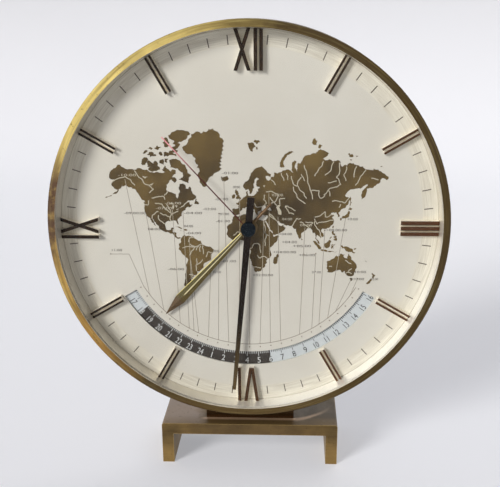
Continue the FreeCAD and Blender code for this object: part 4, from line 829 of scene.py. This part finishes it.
# Plain numbers at the places, each as (right, up, width, on land or not)
labels = [
    (-74.6, 31.8, 11.1, 1), (-70.8, 8.1, 13.8, 0), (-59.4, -2.0, 7.6, 0), (-46.8, 14.5, 10.0, 1),
    (-52.6, 11.3, 10.0, 1), (-34.6, 8.3, 11.2, 0), (-37.6, 0.0, 5.6, 0), (-34.6, -4.4, 9.4, 0),
    (-46.4, -27.9, 10.2, 0), (-20.4, -15.9, 3.2, 0), (-24.3, 10.9, 8.1, 0), (-16.0, 3.3, 8.7, 0),
    (-15.0, 7.8, 5.6, 0), (-11.2, 33.2, 9.8, 0), (-7.3, 24.6, 4.3, 0), (-16.7, 17.1, 8.0, 0),
    (-12.9, -22.4, 9.5, 0), (-20.4, -29.6, 5.1, 0), (8.8, -31.4, 12.7, 0), (17.8, 19.8, 6.8, 1),
    (23.8, 4.8, 6.2, 1), (35.6, 1.1, 7.4, 1), (22.9, -4.7, 8.1, 0), (25.4, -9.8, 9.4, 0),
    (33.3, -12.3, 11.2, 0), (22.4, -16.3, 14.4, 0), (36.5, -18.1, 10.0, 0), (42.6, -29.2, 5.7, 0),
    (69.1, -28.9, 9.4, 0), (68.3, -33.5, 8.8, 0), (79.3, -33.5, 4.4, 0), (64.5, 5.0, 6.2, 0),
    (54.5, -2.0, 13.0, 0), (-83.5, -15.7, 6.4, 0)]
number_height = 1.5
numbers = Printing("map_numbers", dial_face, 5, figure_dark, pale_line)
for right, up, width, on_land in labels:
    hours = round((right / map_step + map_meridian) / 15)
    form = "%02d:00" if width < 8 else "%+03d:00:00" if width > 12 else "%+03d:00"
    text = form % (abs(hours) if width < 8 else hours)
    reach = max(x for points in figures(text) for x, _ in points) * 2
    numbers.words(text, number_height, (right, up), stretch=width / reach / number_height, tint=on_land)
numbers.done("case_and_stand")

# Minute marks, and the hairline where the dial meets its rim
mark_edges, mark_width, rim_edges = (108.45, 113.9), 0.6, (117.0, 117.3)
marks = Printing("minute_marks", dial_face, 1, dark_line, edge_dark)
for minute in range(60):
    if minute % 5:
        marks.line([at(radius, 6 * minute) for radius in mark_edges], mark_width)
marks.band(*rim_edges, 0, 360, 120, 1)
marks.done("case_and_stand")

# The scale: three runs of 24 hours, black by night and white by day
scale_edges = (82.4, 94.6)
fourth_hour = 181.1  # its clock angle at rest
figure_radius, figure_height = 90.0, 4.0
tick_start, hour_tick_end, short_tick_end, tick_width = 83.2, 87.1, 85.5, 0.38
disc = Printing("hour_scale", disc_face, 1, disc_black, disc_day)
figures_on_disc = Printing("hour_scale_figures", disc_face, 2, disc_white, disc_dark)


def hour_angle(hour):
    """The clock angle at which an hour of the scale stands at rest."""
    return fourth_hour - hour_step * (hour - 4)


for run in range(3):
    start = 24 * run
    disc.band(*scale_edges, hour_angle(start + 6), hour_angle(start - 6), 24, 0)
    disc.band(*scale_edges, hour_angle(start + 18), hour_angle(start + 6), 24, 1)
    for hour in range(1, 25):
        angle = hour_angle(start + hour)
        middle = at(figure_radius, angle)
        tint = 1 if 6 <= hour < 18 else 0
        style = dict(up=angle + 180, stretch=0.7 if hour > 9 else 0.9)
        if hour in (6, 18):
            # Day and night meet under these figures, so each half has its own colour
            x, z = at(1.0, angle + 180)
            night = -1 if hour == 6 else 1
            for shade, side in ((0, night), (1, -night)):
                cut = (middle, (side * z, -side * x))
                figures_on_disc.words(str(hour), figure_height, middle, tint=shade, keep=cut, **style)
        else:
            figures_on_disc.words(str(hour), figure_height, middle, tint=tint, **style)
        for sixth in range(6):
            tick = hour_angle(start + hour + sixth / 6)
            end = short_tick_end if sixth else hour_tick_end
            figures_on_disc.line([at(tick_start, tick), at(end, tick)], tick_width, tint)
disc.done("scale")
figures_on_disc.done("scale")

# Room: a pale floor that sweeps up behind the clock, a soft sun from the upper left, a lamp and an even sky
wall_y, wall_top, bend = 1.3, 4.0, 0.4
sweep = bmesh.new()
profile = [(-12.0, 0.0), (wall_y - bend, 0.0)]
for angle in range(10, 90, 10):
    y, z = at(bend, angle)
    profile.append((wall_y - bend + y, bend - z))
profile += [(wall_y, bend), (wall_y, wall_top)]
rows = [[sweep.verts.new((x, y, z)) for x in (-9.0, 9.0)] for y, z in profile]
for lower, upper in zip(rows, rows[1:]):
    sweep.faces.new((lower[0], lower[1], upper[1], upper[0])).smooth = True
room_mesh = bpy.data.meshes.new("room")
sweep.to_mesh(room_mesh)
sweep.free()
room = added("room", room_mesh)
pale = Finish("room_pale")
wash = pale.spots(3.0)
height = pale.xyz()[2]
room_mesh.materials.append(pale.give(
    Base_Color=pale.mix(wash, colour(196, 197, 201), colour(202, 203, 206)), Roughness=0.8,
    Emission_Color=colour(238, 241, 248),
    Emission_Strength=pale.times(pale.seen(), pale.span(height, 0.0, 0.5, 0.36, 0.04))))


def lamp(name, kind, place, energy, tint, **settings):
    """A lamp at a place, turned to the clock."""
    data = bpy.data.lights.new(name, kind)
    data.energy = energy
    data.color = tint
    for key, value in settings.items():
        setattr(data, key, value)
    piece = added(name, data)
    piece.location = place
    aim = Vector((0.0, 0.0, 0.15)) - piece.location
    piece.rotation_euler = aim.to_track_quat("-Z", "Y").to_euler()


lamp("window_light", "SUN", (-1.55, -1.9, 1.13), 2.85, (1.0, 0.985, 0.965), angle=math.radians(21))
lamp("back_light", "AREA", (0.5, 1.05, 1.3), 5.5, (1.0, 0.98, 0.96), size=0.9)

world = bpy.data.worlds.new("sky")
nodes = Nodes(world)
light = nodes.tree.nodes["Background"]
nodes.set(light, "Color", (1.0, 0.88, 0.9, 1.0))
nodes.set(light, "Strength", 0.16)
shown = nodes.add("Background", colour(226, 228, 232))
choice = nodes.add("MixShader", nodes.seen(), light.outputs[0], shown.outputs[0])
nodes.set(nodes.tree.nodes["World Output"], "Surface", choice.outputs[0])
bpy.context.scene.world = world

# Camera at the photograph's angle
yaw, pitch, roll = (math.radians(a) for a in (-2.41, 19.88, -0.24))
camera_data = bpy.data.cameras.new("camera")
camera_data.sensor_width = 36.0
camera_data.lens = 64.85
camera_data.shift_x = -0.0127
camera_data.shift_y = 0.1752
camera_place = (0.02755, -0.56622, 0.28882)
camera = added("camera", camera_data)
turn = Matrix.Rotation(-yaw, 4, "Z") @ Matrix.Rotation(math.pi / 2 - pitch, 4, "X")
turn = turn @ Matrix.Rotation(roll, 4, "Z")
camera.matrix_world = Matrix.Translation(camera_place) @ turn
bpy.context.scene.camera = camera
bpy.context.scene.view_settings.view_transform = "Standard"
